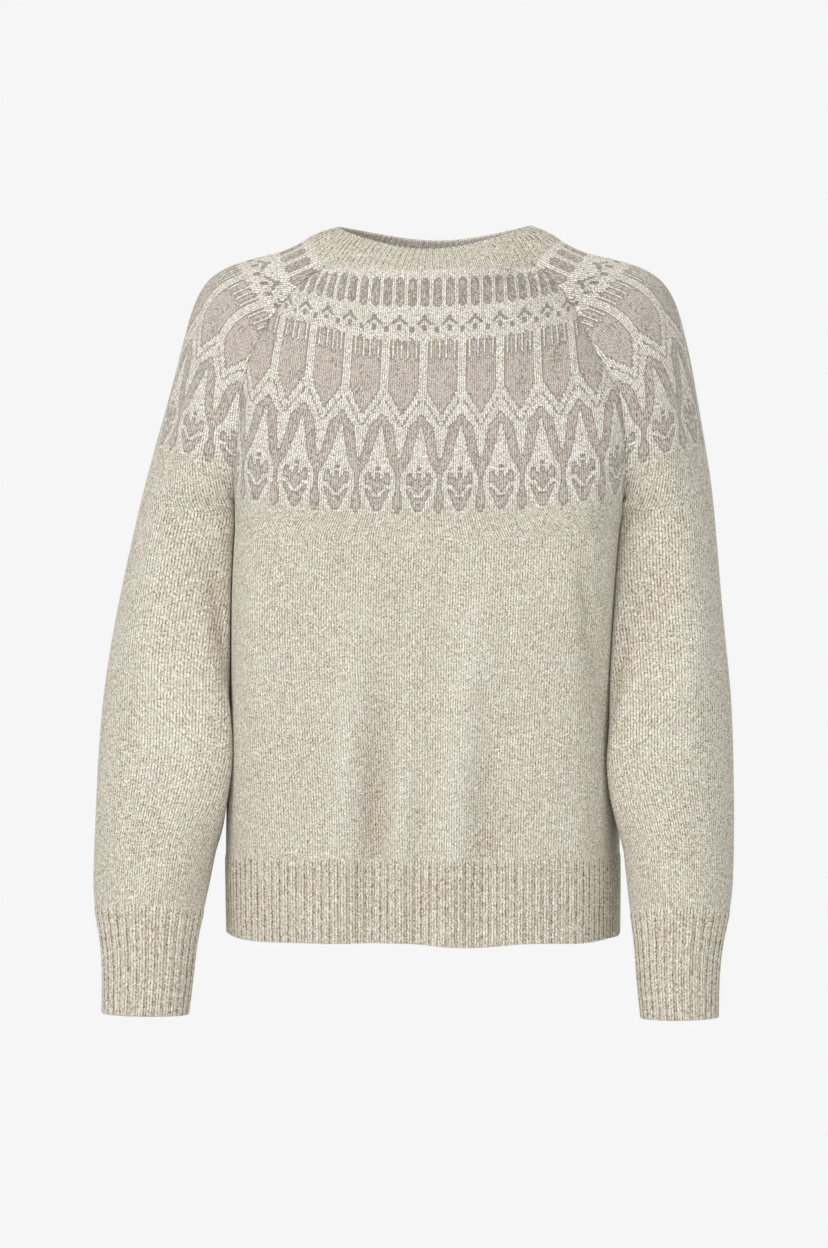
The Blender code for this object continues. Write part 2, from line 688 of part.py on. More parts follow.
def strip(lower, upper):
    """Triangles between two chains of points, which may be unlike in number."""
    faces = []
    i = j = 0
    last_i, last_j = len(lower) - 1, len(upper) - 1
    while i < last_i or j < last_j:
        step_lower = j == last_j or (i < last_i and (i + 1) * last_j <= (j + 1) * last_i)
        if step_lower:
            faces.append((lower[i], lower[i + 1], upper[j]))
            i += 1
        else:
            faces.append((lower[i], upper[j + 1], upper[j]))
            j += 1
    return faces


def wall_object(name, outer, inner, closed_from):
    """A closed wall between an outer and an inner grid with the same rows.

    From the row closed_from down, the last column is the first one, so the wall is a tube;
    above it both side edges are rims.
    """
    points, layers = [], []
    for sheet in (outer, inner):
        rows = []
        for r, row in enumerate(sheet):
            start = len(points)
            count = len(row) - 1 if r >= closed_from else len(row)
            points.extend(row[:count])
            chain = list(range(start, start + count))
            rows.append(chain + [start] if r >= closed_from else chain)
        layers.append(rows)
    faces = []
    for r in range(len(outer) - 1):
        faces += strip(layers[0][r], layers[0][r + 1])
        faces += strip(layers[1][r + 1], layers[1][r])
        if r < closed_from:
            for column in (0, -1):
                out_edge = [layers[0][r][column], layers[0][r + 1][column]]
                in_edge = [layers[1][r][column], layers[1][r + 1][column]]
                rim = strip(out_edge, in_edge)
                faces += [face[::-1] for face in rim] if column == -1 else rim
    faces += strip(layers[1][0], layers[0][0])
    faces += strip(layers[0][-1], layers[1][-1])
    points = np.array(points) * MM
    corners = points[np.array(faces)]
    volume = np.sum(corners[:, 0] * np.cross(corners[:, 1], corners[:, 2]))
    if volume < 0.0:
        faces = [face[::-1] for face in faces]
    mesh = bpy.data.meshes.new(name)
    mesh.from_pydata([tuple(point) for point in points], [], faces)
    mesh.shade_smooth()
    mesh.set_sharp_from_angle(angle=np.radians(SHARP))
    mesh.materials.append(wool(name))
    return bpy.data.objects.new(name, mesh)


def wool(name):
    """The oatmeal yarn of one piece."""
    material = bpy.data.materials.new(f"{name}_wool")
    material.use_nodes = True
    shader = material.node_tree.nodes["Principled BSDF"]
    shader.inputs["Base Color"].default_value = (*WOOL, 1.0)
    shader.inputs["Roughness"].default_value = WOOL_ROUGHNESS
    shader.inputs["Metallic"].default_value = 0.0
    return material


def main():
    for piece in list(bpy.data.objects):
        bpy.data.objects.remove(piece, do_unlink=True)
    sweater = bpy.data.collections.new(NAME)
    bpy.context.scene.collection.children.link(sweater)
    ring = neck_edge()
    never = np.inf
    walls = {
        "front": (body_panel(front_surface, -1.0, NECK_FRONT, FRONT_COLUMNS, ring), never),
        "back": (body_panel(back_surface, 1.0, NECK_BACK, BACK_COLUMNS, ring), never),
        "sleeve_left": (sleeve_panel(1.0, ring), RAGLAN_ROWS),
        "sleeve_right": (sleeve_panel(-1.0, ring), RAGLAN_ROWS),
        "neckband": (band_panel(ring), 0),
        "hem_rib_front": (hem_panel(front_surface, -1.0, HEM_RIBS_FRONT, HEM_INNER_FRONT), never),
        "hem_rib_back": (hem_panel(back_surface, 1.0, HEM_RIBS_BACK, HEM_INNER_BACK), never),
        "cuff_left": (cuff_panel(1.0), 0),
        "cuff_right": (cuff_panel(-1.0), 0),
    }
    for name, ((outer, inner), closed_from) in walls.items():
        sweater.objects.link(wall_object(name, outer, inner, closed_from))


main()
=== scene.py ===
"""Nordic yoke sweater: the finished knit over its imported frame.

Every panel is one closed shell of knit that stands for its solid. Its outer points lie on grids
of half stitches and courses, worked out from surface functions of a course and a place on it,
so a stitch, a wale and the yoke pattern follow the garment's form. Millimetres in the tables,
metres in the meshes. +X is the wearer's left, -Y the front, +Z up.
"""

import bpy
import numpy as np
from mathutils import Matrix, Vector


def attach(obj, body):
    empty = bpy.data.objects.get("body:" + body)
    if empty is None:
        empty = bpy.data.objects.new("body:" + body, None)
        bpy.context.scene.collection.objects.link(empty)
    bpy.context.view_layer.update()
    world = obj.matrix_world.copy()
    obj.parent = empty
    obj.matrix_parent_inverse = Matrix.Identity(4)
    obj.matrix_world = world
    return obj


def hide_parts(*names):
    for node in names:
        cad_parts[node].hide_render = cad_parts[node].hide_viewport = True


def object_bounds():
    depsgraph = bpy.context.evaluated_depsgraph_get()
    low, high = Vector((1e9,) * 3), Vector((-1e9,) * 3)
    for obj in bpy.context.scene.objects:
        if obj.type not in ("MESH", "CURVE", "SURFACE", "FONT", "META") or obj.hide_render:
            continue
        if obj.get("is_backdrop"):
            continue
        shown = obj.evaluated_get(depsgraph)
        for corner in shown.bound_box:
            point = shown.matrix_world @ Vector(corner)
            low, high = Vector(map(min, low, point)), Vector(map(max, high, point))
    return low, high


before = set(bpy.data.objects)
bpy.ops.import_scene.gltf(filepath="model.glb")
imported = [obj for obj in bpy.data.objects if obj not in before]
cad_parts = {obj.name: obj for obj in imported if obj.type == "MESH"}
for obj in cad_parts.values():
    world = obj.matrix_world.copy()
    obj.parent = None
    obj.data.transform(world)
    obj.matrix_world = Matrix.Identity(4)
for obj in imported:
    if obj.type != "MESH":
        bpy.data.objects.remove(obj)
cad_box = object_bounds()

MM = 0.001
WALL = 2.6
STEP = 0.4  # of a millimetre or a thousandth of a course, for slopes

# Heights of the courses where they reach a seam
NECK_FRONT = -26.0
NECK_BACK = -10.0
UNDERARM = -250.0
RIB_TOP = -530.0
HEM = -603.0
CUFF_TOP = -575.0
CUFF_END = -664.0


def table(names, *rows):
    """Named columns from one row for each section."""
    return dict(zip(names.split(), np.array(rows, float).T))


# Torso sections, front half. A course is an arc from seam to seam: half width and depth of its
# ellipse, how far the centre front stands forward, the angle at which the seam cuts the arc,
# and how far the course hangs lower at centre front than at the seam.
FRONT = table(
    "height  half   forward depth  cut   sag",
    (-26.0,  105.0,  96.0,  90.0, 59.0,  8.0),
    (-43.0,  130.5, 102.5,  86.0, 58.0, 14.0),
    (-61.0,  147.5, 107.0,  85.0, 57.5, 19.0),
    (-85.0,  161.5, 112.0,  84.0, 58.5, 23.0),
    (-117.0, 172.5, 117.0,  83.0, 62.5, 24.0),
    (-143.0, 176.5, 119.5,  83.0, 65.5, 24.0),
    (-176.0, 174.5, 121.5,  87.0, 70.0, 22.0),
    (-213.0, 171.5, 122.5,  98.0, 75.5, 19.0),
    (-235.0, 169.0, 122.0, 110.0, 81.0, 16.0),
    (-250.0, 168.5, 122.0, 122.0, 90.0, 14.0),
    (-300.0, 168.0, 122.0, 122.0, 90.0, 10.0),
    (-400.0, 167.5, 121.0, 121.0, 90.0,  5.0),
    (-480.0, 169.5, 119.0, 119.0, 90.0,  2.0),
    (-530.0, 170.5, 117.0, 117.0, 90.0,  0.0),
    (-603.0, 170.0, 117.0, 117.0, 90.0,  0.0),
)

# The same for the back half. Its heights run to the same underarm.
BACK = table(
    "height  half   forward depth  cut   sag",
    (-10.0,  110.0,  80.0,  78.5, 45.0,  8.0),
    (-40.0,  134.0,  91.0,  72.0, 53.0, 12.0),
    (-70.0,  153.0,  99.0,  68.0, 58.0, 14.0),
    (-100.0, 166.0, 105.0,  67.0, 61.5, 14.0),
    (-140.0, 172.0, 109.0,  67.0, 66.0, 13.0),
    (-176.0, 171.0, 111.0,  70.0, 70.5, 11.0),
    (-213.0, 169.0, 111.5,  83.0, 76.5,  9.0),
    (-235.0, 168.7, 111.0,  97.0, 82.0,  8.0),
    (-250.0, 168.5, 111.0, 111.0, 90.0,  7.0),
    (-300.0, 168.0, 111.0, 111.0, 90.0,  5.0),
    (-400.0, 167.5, 109.0, 109.0, 90.0,  2.0),
    (-480.0, 169.5, 107.0, 107.0, 90.0,  1.0),
    (-530.0, 170.5, 106.0, 106.0, 90.0,  0.0),
    (-603.0, 170.0, 106.0, 106.0, 90.0,  0.0),
)

# Sleeve sections, named by the height of their course at the front seam or the inner line:
# the outer line, how far the course turns from there to the seam, and half its depth.
SLEEVE = table(
    "height  top_x  top_z  turn   deep  axis_y tilt",
    (-26.0,  110.5,   1.0,  32.0, 101.0,  0.0,  0.0),
    (-42.0,  128.5,  -8.3,  36.0, 100.0,  0.0,  0.0),
    (-60.0,  155.0, -15.3,  40.0, 98.0,   0.5,  0.0),
    (-80.0,  182.0, -24.2,  46.0, 93.0,   1.0,  0.0),
    (-96.0,  199.0, -36.5,  54.0, 84.5,   1.5,  0.0),
    (-112.0, 210.0, -56.0,  64.0, 77.0,   2.0,  0.0),
    (-128.0, 216.5, -77.5,  76.0, 73.0,   2.0,  0.0),
    (-150.0, 223.5, -107.0, 94.0, 71.0,   2.0,  0.0),
    (-175.0, 231.0, -141.5, 109.0, 71.0,  2.0,  0.0),
    (-200.0, 238.5, -175.0, 122.0, 71.0,  1.5,  0.0),
    (-225.0, 245.7, -209.0, 142.0, 72.0,  1.0,  0.0),
    (-250.0, 251.3, -243.0, 180.0, 73.0,  -2.0,  1.0),
    (-300.0, 258.6, -295.0, 180.0, 69.0, -10.0,  4.0),
    (-350.0, 265.3, -346.0, 180.0, 64.0, -19.0,  8.0),
    (-400.0, 270.8, -397.0, 180.0, 58.0, -28.0, 11.0),
    (-450.0, 273.3, -448.0, 180.0, 52.5, -38.0, 12.0),
    (-500.0, 273.8, -498.0, 180.0, 48.0, -50.0, 10.5),
    (-540.0, 273.4, -538.0, 180.0, 45.0, -61.0,  8.0),
    (-575.0, 270.6, -573.0, 180.0, 41.0, -73.0,  5.5),
    (-602.0, 264.6, -600.5, 180.0, 36.0, -81.5,  4.0),
    (-625.0, 261.5, -623.5, 180.0, 32.0, -89.0,  3.0),
    (-664.0, 260.0, -663.0, 180.0, 28.0, -100.0, 1.5),
)

# The sleeve's line next to the body, below the underarm.
INNER = table(
    "height  x      y",
    (-250.0, 168.5,   0.0),
    (-265.0, 169.7,  -4.0),
    (-300.0, 169.6, -12.0),
    (-350.0, 168.0, -24.0),
    (-400.0, 166.8, -35.0),
    (-435.0, 166.3, -44.0),
    (-475.0, 168.3, -53.0),
    (-500.0, 170.8, -58.0),
    (-530.0, 175.0, -64.0),
    (-575.0, 181.6, -75.0),
    (-602.0, 186.0, -82.5),
    (-625.0, 188.0, -89.0),
    (-664.0, 191.6, -100.0),
)

# The garment hangs a little to the wearer's right, and the sleeves swing with it. The skew
# moves both raglan seams of a course to one side, and leaves its middle.
LEAN = table(
    "height  x",
    (60.0,   -1.0),
    (-60.0,  -1.5),
    (-129.0, -3.0),
    (-180.0, -5.0),
    (-230.0, -6.5),
    (-300.0, -8.0),
    (-400.0, -8.8),
    (-680.0, -9.0),
)
SKEW = table(
    "height  x",
    (60.0,    0.0),
    (-26.0,   0.0),
    (-60.0,  -1.5),
    (-98.0,  -2.0),
    (-116.0,  0.5),
    (-140.0,  5.0),
    (-176.0,  7.0),
    (-227.0,  5.8),
    (-277.0,  3.4),
    (-350.0,  1.5),
    (-435.0,  0.0),
    (-680.0,  0.0),
)
SWING = table(
    "height  outer  inner",
    (60.0,    0.0,   0.0),
    (-200.0,  0.0,   0.0),
    (-260.0, -2.0,   0.0),
    (-330.0, -4.5,   0.5),
    (-400.0, -5.5,   2.5),
    (-450.0, -6.0,   3.0),
    (-500.0, -6.0,   1.5),
    (-570.0, -6.5,  -1.0),
    (-610.0, -6.5,  -2.0),
    (-680.0, -6.5,  -2.0),
)

# How far the cloth is filled out beside the armholes, where a sleeve and the body lie against
# each other: powers that square the corners of their sections, 1 for a plain ellipse.
FULLNESS = table(
    "height  front  back  sleeve",
    (60.0,   1.0,   1.0,  1.0),
    (-26.0,  1.0,   1.0,  1.0),
    (-60.0,  1.15,  1.0,  1.0),
    (-117.0, 1.7,   1.15, 0.85),
    (-176.0, 2.5,   1.4,  0.55),
    (-250.0, 3.0,   1.7,  0.4),
    (-330.0, 3.0,   1.7,  0.4),
    (-400.0, 2.7,   1.6,  0.45),
    (-480.0, 2.4,   1.5,  0.6),
    (-530.0, 2.1,   1.4,  0.8),
    (-580.0, 1.9,   1.3,  1.0),
    (-680.0, 1.8,   1.2,  1.0),
)

# How closely a sleeve leans on the body, as a share of the room between them, and the most
# that it takes up.
LEANING = table(
    "height  share",
    (60.0,   0.0),
    (-110.0, 0.0),
    (-176.0, 0.5),
    (-225.0, 1.0),
    (-300.0, 1.0),
    (-400.0, 1.0),
    (-450.0, 1.0),
    (-485.0, 0.7),
    (-525.0, 0.0),
    (-680.0, 0.0),
)
LEANING_MOST = 18.0
LEANING_KNEE = 6.0
LEANING_EASE = 0.4  # of a radian past the widest point
ROOM = 0.3  # left between a sleeve and the body
ARMPIT = -222.0
UNDER_STEP = 4.0  # of height below the underarm, three of which part the sleeve from the body
UNDER_STEPS = 3.0
SEAM_EASE = 12.0

# The left shoulder hangs lower than the right one by twice the tilt, less and less down the arm.
SHOULDER_TILT = 1.6
TILT_FROM = -110.0
TILT_OVER = 80.0

# Neckband: its top edge as sums of cosines of the angle from centre front.
BAND_RADIUS = (75.5, 2.0, -7.5)
BAND_HEIGHT = (5.1, -10.7, -7.9)
BAND_ROUND = 1.2
BAND_STEP = 0.01  # of a radian or of the band's depth, for slopes
NECK_SAMPLES = 60
BAND_RIBS = 100
HEM_RIBS_FRONT = 68
HEM_RIBS_BACK = 66
CUFF_RIBS = 30

# Large folds of the body: place and height where the centre line starts and ends, measured from
# the middle of the front or back, half width and height of the ridge or trough, and where along
# it, as a share, it is highest. They fade in from the start and run on past an end at the hem.
FOLD_COLUMNS = "start from end to half high peak"
FRONT_FOLDS = table(
    FOLD_COLUMNS,
    (-46.0, -270.0, -66.0, -603.0, 16.0,  6.0, 0.62),
    (-23.0, -320.0, -38.0, -603.0, 15.0, -7.5, 0.62),
    (-7.0,  -340.0, -15.0, -603.0, 14.0,  5.0, 0.65),
    (4.0,   -450.0,   1.0, -603.0, 12.0, -2.5, 0.80),
    (55.0,  -250.0,  26.0, -603.0, 17.0,  7.5, 0.60),
    (63.0,  -360.0,  60.0, -603.0, 16.0, -5.0, 0.65),
    (-138.0, -225.0, -136.0, -430.0, 12.0, 2.2, 0.50),
    (133.0, -430.0, 136.0, -603.0, 14.0,  2.2, 0.65),
    (133.0, -230.0, 162.0, -465.0, 10.0, -3.5, 0.50),
)
BACK_FOLDS = table(
    FOLD_COLUMNS,
    (-70.0, -300.0, -92.0, -603.0, 20.0,  4.5, 0.75),
    (-44.0, -350.0, -50.0, -603.0, 18.0, -5.0, 0.70),
    (-8.0,  -320.0,   2.0, -603.0, 20.0,  5.0, 0.70),
    (38.0,  -370.0,  46.0, -603.0, 18.0, -4.5, 0.75),
    (84.0,  -310.0,  96.0, -603.0, 20.0,  4.5, 0.70),
)

HEM_SHARE = 0.55  # of its height is left where a fold meets the hem
FOLD_FALL = 1.6  # how fast a fold's bell curve falls across its half width

# Large folds of the sleeves, by side (+1 wearer's left). Their places and half widths are around
# the sleeve: 0 front seam, 0.5 outer line, 1 back seam.
ARM_FOLDS = {
    -1.0: table(
        FOLD_COLUMNS,
        (0.24, -232.0, 0.030, -465.0, 0.050, -5.5, 0.50),
        (0.32, -290.0, 0.16,  -540.0, 0.070,  3.0, 0.55),
        (0.74, -330.0, 0.92,  -440.0, 0.060, -3.5, 0.50),
    ),
    1.0: table(
        FOLD_COLUMNS,
        (0.32, -228.0, 0.015, -490.0, 0.050, -5.5, 0.50),
        (0.40, -270.0, 0.19,  -520.0, 0.070,  3.0, 0.50),
        (0.36, -385.0, 0.22,  -450.0, 0.045, -2.0, 0.50),
        (0.76, -320.0, 0.90,  -450.0, 0.060, -3.5, 0.50),
    ),
}


def smooth_step(share):
    """An S-shaped ease from 0 to 1: 3 t squared less 2 t cubed of the share, kept from 0 to 1."""
    t = np.clip(share, 0.0, 1.0)
    return t * t * (3.0 - 2.0 * t)


def spline(knots, values, at):
    """A natural cubic spline through one value for each knot.

    Its bends at the knots solve the usual three-term system, with none at both ends. Between
    two knots it is the straight line from value to value, plus each end's bend times the cube
    of the distance from the other end over six gaps, less the part of it that is straight.
    """
    order = np.argsort(knots)
    knots, values = knots[order], values[order]
    gaps = np.diff(knots)
    count = len(knots)
    system, known = np.eye(count), np.zeros(count)
    slopes = np.diff(values) / gaps
    for i in range(1, count - 1):
        system[i, i - 1:i + 2] = gaps[i - 1], 2 * (gaps[i - 1] + gaps[i]), gaps[i]
        known[i] = 6 * (slopes[i] - slopes[i - 1])
    bend = np.linalg.solve(system, known)
    i = np.clip(np.searchsorted(knots, at, side="right") - 1, 0, count - 2)
    before, after, gap = at - knots[i], knots[i + 1] - at, gaps[i]
    return (
        (bend[i] * after**3 + bend[i + 1] * before**3) / (6 * gap)
        + (values[i] / gap - bend[i] * gap / 6) * after
        + (values[i + 1] / gap - bend[i + 1] * gap / 6) * before
    )


def read(rows, column, at):
    """A column of a table at any key of its first column."""
    key = next(iter(rows))
    return spline(rows[key], rows[column], np.asarray(at, float))


def read_raglan(rows, column, at, below):
    """A column read above the underarm, and the value that it keeps from there down."""
    upper = {name: values[rows["height"] >= UNDERARM] for name, values in rows.items()}
    return np.where(at > UNDERARM, read(upper, column, at), below)


def along(start, end, peak, at):
    """Share of its length and height of a fold along itself.

    The height is a sine squared from 0 at the start to 1 at the peak, then a cosine squared down
    to 0 at the end, or down to HEM_SHARE where the fold runs on to the hem.
    """
    share = np.clip((at - start) / (end - start), 0.0, 1.0)
    rising = np.sin(0.5 * np.pi * np.clip(share / peak, 0.0, 1.0)) ** 2
    falling = np.cos(0.5 * np.pi * np.clip((share - peak) / (1.0 - peak), 0.0, 1.0)) ** 2
    to_hem = np.where(end <= HEM, HEM_SHARE + (1.0 - HEM_SHARE) * falling, falling)
    return share, rising * to_hem


def raised(folds, place, height):
    """Sum of a table's folds at a place across the piece.

    Each is its height times its size along its line, times a bell curve across it: e to the
    minus FOLD_FALL times the square of the distance from the line over its half width.
    """
    total = np.zeros(np.broadcast(place, height).shape)
    for start, start_height, end, end_height, half, high, peak in zip(*folds.values()):
        share, size = along(start_height, end_height, peak, height)
        off = (place - (start + (end - start) * share)) / half
        total += high * size * np.exp(-FOLD_FALL * off * off)
    return total


def section(rings, front, height):
    """Forward line, depth and fullness of a torso course, of the front (-1) or the back (1)."""
    forward = read(rings, "forward", height)
    depth = read_raglan(rings, "depth", height, forward)
    return forward, depth, read(FULLNESS, "front" if front < 0.0 else "back", height)


def body_plain(rings, front, height, across):
    """Torso course without folds. across runs from -1 at the -X seam to 1 at the +X seam.

    The course turns by across times the cut angle. x is the half width times the turn's sine,
    with the lean, and the skew times the square of the sine over the seam's sine. y goes back
    from the forward line by the depth times (1 less the cosine) to the power of the fullness.
    z sinks by the sag times the cosine's share between the seam and the middle.
    """
    cut = np.radians(read_raglan(rings, "cut", height, 90.0))
    turn = across * cut
    forward, depth, full = section(rings, front, height)
    hang = (np.cos(turn) - np.cos(cut)) / (1.0 - np.cos(cut))
    skew = read(SKEW, "x", height) * (np.sin(turn) / np.sin(cut)) ** 2
    x = read(LEAN, "x", height) + skew + read(rings, "half", height) * np.sin(turn)
    y = front * (forward - depth * (1.0 - np.cos(turn)) ** full)
    z = height - read(rings, "sag", height) * hang
    return np.stack(np.broadcast_arrays(x, y, z), -1)


def body_side(side, height, y):
    """How far out the torso's course reaches where it is at y: body_plain solved for x.

    The cosine comes back from y as 1 less the root (of the fullness) of the share of the depth,
    and x from the sine that belongs to it.
    """
    x = 0.0
    for rings, front in ((FRONT, -1.0), (BACK, 1.0)):
        forward, depth, full = section(rings, front, height)
        share = np.clip((forward - front * y) / depth, 0.0, 1.0) ** (1.0 / full)
        sine = np.sqrt(1.0 - (1.0 - share) ** 2)
        reach = read(SKEW, "x", height) * sine**2 + side * read(rings, "half", height) * sine
        x = np.where(front * y > 0.0, read(LEAN, "x", height) + reach, x)
    return x


def sleeve_plain(side, height, around):
    """Sleeve course without folds, from the front seam (0) over the outer line to the back (1).

    Each half is an elliptical arc that starts at the outer line and turns to the seam: x and z go
    from the outer line to the seam by (1 less the turn's cosine) over its value at the seam, and
    y is half the depth times the turn's sine, to the power of the fullness past the widest
    point, tilted about X, plus the share of what it misses the seam by. Below, the half next to
    the body then leans on it: of the room to the body's side, less a small gap, it takes up to
    LEANING_MOST: the room over the sixth root of 1 plus the sixth power of its share of that,
    times a smooth step past the widest point. Where it would be inside the body, it is pushed
    out.
    """
    share = np.minimum((height - NECK_FRONT) / (UNDERARM - NECK_FRONT), 1.0)
    back_height = NECK_BACK + share * (UNDERARM - NECK_BACK)
    is_front = around <= 0.5
    front_seam = body_plain(FRONT, -1.0, height, side)
    back_seam = body_plain(BACK, 1.0, back_height, side)
    seam = np.where(is_front[..., None], front_seam, back_seam)
    axis_y = read(SLEEVE, "axis_y", height)
    drift = read(LEAN, "x", height) + read(SKEW, "x", height) + read(SWING, "inner", height)
    inner_x = side * read(INNER, "x", height) + drift
    inner_y = read(INNER, "y", height)
    inner = np.stack(np.broadcast_arrays(inner_x, inner_y, height), -1)
    seam = np.where((height <= UNDERARM)[..., None], inner, seam)

    top_z = read(SLEEVE, "top_z", height)
    top_z = top_z - side * SHOULDER_TILT * np.clip((top_z - TILT_FROM) / TILT_OVER, 0.0, 1.0)
    drift = read(LEAN, "x", top_z) + read(SWING, "outer", top_z)
    top_x = side * read(SLEEVE, "top_x", height) + drift
    turn = np.radians(read_raglan(SLEEVE, "turn", height, 180.0))
    deep, tilt = read(SLEEVE, "deep", height), np.radians(read(SLEEVE, "tilt", height))
    way = np.abs(1.0 - 2.0 * around)
    facing = np.where(is_front, -1.0, 1.0)
    inward = (1.0 - np.cos(way * turn)) / (1.0 - np.cos(turn))
    full = np.where(is_front, read(FULLNESS, "sleeve", height), 1.0)

    def swell(angle):
        """The angle's sine, to the power of the fullness past the widest point."""
        power = np.where(angle > 0.5 * np.pi, full, 1.0)
        return np.clip(np.sin(angle), 0.0, 1.0) ** power

    reach = deep * swell(way * turn)
    miss = (seam[..., 1] - axis_y) - facing * deep * swell(turn)
    x = top_x + (seam[..., 0] - top_x) * inward
    y = axis_y + facing * reach * np.cos(tilt) + miss * inward
    z = top_z + (seam[..., 2] - top_z) * inward - facing * reach * np.sin(tilt)

    from_seam = np.clip(np.abs(y - seam[..., 1]) / SEAM_EASE, 0.0, 1.0)
    under = np.clip((UNDERARM + UNDER_STEP - height) / UNDER_STEP, 0.0, UNDER_STEPS)
    near_body = np.clip((ARMPIT - height) / (ARMPIT - UNDERARM), 0.0, 1.0)
    apart = ROOM * np.maximum(under / UNDER_STEPS, near_body * from_seam)
    room = side * (x - body_side(side, height, y)) - apart
    share = np.clip(read(LEANING, "share", height), 0.0, 1.0) * (way * turn > 0.5 * np.pi)
    share = share * np.maximum(under / UNDER_STEPS, from_seam)
    free = np.maximum(room, 0.0)
    taken = share * free / (1.0 + (free / LEANING_MOST) ** LEANING_KNEE) ** (1.0 / LEANING_KNEE)
    taken = taken * smooth_step((way * turn - 0.5 * np.pi) / LEANING_EASE)
    pushed = np.minimum(room, 0.0) * np.maximum(np.minimum(under, 1.0), near_body * from_seam)
    x = x - side * (taken + pushed)
    return np.stack(np.broadcast_arrays(x, y, z), -1)


def unit(vectors):
    """Vectors divided by their lengths."""
    return vectors / np.linalg.norm(vectors, axis=-1, keepdims=True)


def running_length(points):
    """Length along rows of points from their starts, as sums of straight steps."""
    steps = np.linalg.norm(np.diff(points, axis=-2), axis=-1)
    return np.concatenate([np.zeros_like(steps[..., :1]), np.cumsum(steps, axis=-1)], -1)


def outward(surface, height, place):
    """Unit normals of a surface function: the cross product of its slopes down and across, each
    the difference of two points a small step apart."""
    across = surface(height, place + STEP * MM) - surface(height, place - STEP * MM)
    down = surface(height - STEP, place) - surface(height + STEP, place)
    return unit(np.cross(down, across))


def folded(plain, folds, flip):
    """A surface function with its folds raised along the plain surface's normals."""
    def surface(height, place):
        """The plain point, plus its normal times the folds' height there."""
        base = plain(height, place)
        return base + flip * outward(plain, height, place) * folds(height, place, base)[..., None]

    return surface


def front_plain(height, across):
    """The front without folds."""
    return body_plain(FRONT, -1.0, height, across)


def back_plain(height, across):
    """The back without folds."""
    return body_plain(BACK, 1.0, height, across)


def body_surface(plain, folds, flip):
    """Half the body with its folds, measured from the middle line that leans with the body."""
    rise = lambda h, a, at: raised(folds, at[..., 0] - read(LEAN, "x", h), at[..., 2])
    return folded(plain, rise, flip)


front_surface = body_surface(front_plain, FRONT_FOLDS, 1.0)
back_surface = body_surface(back_plain, BACK_FOLDS, -1.0)


def sleeve_surface(side):
    """Surface function of one sleeve with its folds."""
    plain = lambda h, a: sleeve_plain(side, h, a)
    rise = lambda h, a, at: raised(ARM_FOLDS[side], a, h)
    return folded(plain, rise, side)


def neck_edge():
    """The panels' neck edges as one ring by its angle from centre front, three turns of it."""
    points = []
    arcs = (
        (front_surface, NECK_FRONT, -1.0, 1.0),
        (sleeve_surface(1.0), NECK_FRONT, 0.0, 1.0),
        (back_surface, NECK_BACK, 1.0, -1.0),
        (sleeve_surface(-1.0), NECK_FRONT, 1.0, 0.0),
    )
    for surface, height, start, end in arcs:
        place = np.linspace(start, end, NECK_SAMPLES, endpoint=False)
        points.append(surface(np.full(place.shape, height), place))
    points = np.concatenate(points)
    angle = np.arctan2(points[:, 0], -points[:, 1])
    order = np.argsort(angle)
    turn = 2 * np.pi
    angle = np.concatenate([angle[order] - turn, angle[order], angle[order] + turn])
    return angle, np.tile(points[order], (3, 1))


def ring_read(ring_angle, values, angle):
    """Points of a ring at any angle, on straight lines between its samples."""
    return np.stack([np.interp(angle, ring_angle, values[:, i]) for i in range(3)], -1)


def cosines(parts, angle):
    """Sum of sizes times the cosines of 0, 1, 2 and more times the angle."""
    return sum(size * np.cos(order * angle) for order, size in enumerate(parts))


def band_surface(ring):
    """The neckband between the neck edge (1) and its top edge (0).

    A straight line from edge to edge, pushed out and up by half a sine wave of BAND_ROUND.
    """
    ring_angle, points = ring

    def surface(down, angle):
        """A share of the way down from the top edge to the neck edge, at an angle."""
        base = ring_read(ring_angle, points, angle)
        radius = cosines(BAND_RADIUS, angle)
        x, y = radius * np.sin(angle), -radius * np.cos(angle)
        top = np.stack(np.broadcast_arrays(x, y, cosines(BAND_HEIGHT, angle)), -1)
        bulge = BAND_ROUND * np.sin(np.pi * np.clip(down, 0.0, 1.0))
        out = np.stack([np.sin(angle), -np.cos(angle), np.ones_like(angle)], -1) / np.sqrt(2.0)
        return top + (base - top) * down[..., None] + out * bulge[..., None]

    return surface


def band_normal(surface, down, angle):
    """Unit normals of the band: the cross product of its slopes around and up."""
    around = surface(down, angle + BAND_STEP) - surface(down, angle - BAND_STEP)
    rise = surface(down - BAND_STEP, angle) - surface(down + BAND_STEP, angle)
    return unit(np.cross(around, rise))


# ---- meshes --------------------------------------------------------------------------------

RIM_ANGLE = 62.0  # a sharper bend than this is an edge
FAR = 99.0  # the distance to a seam where there is none


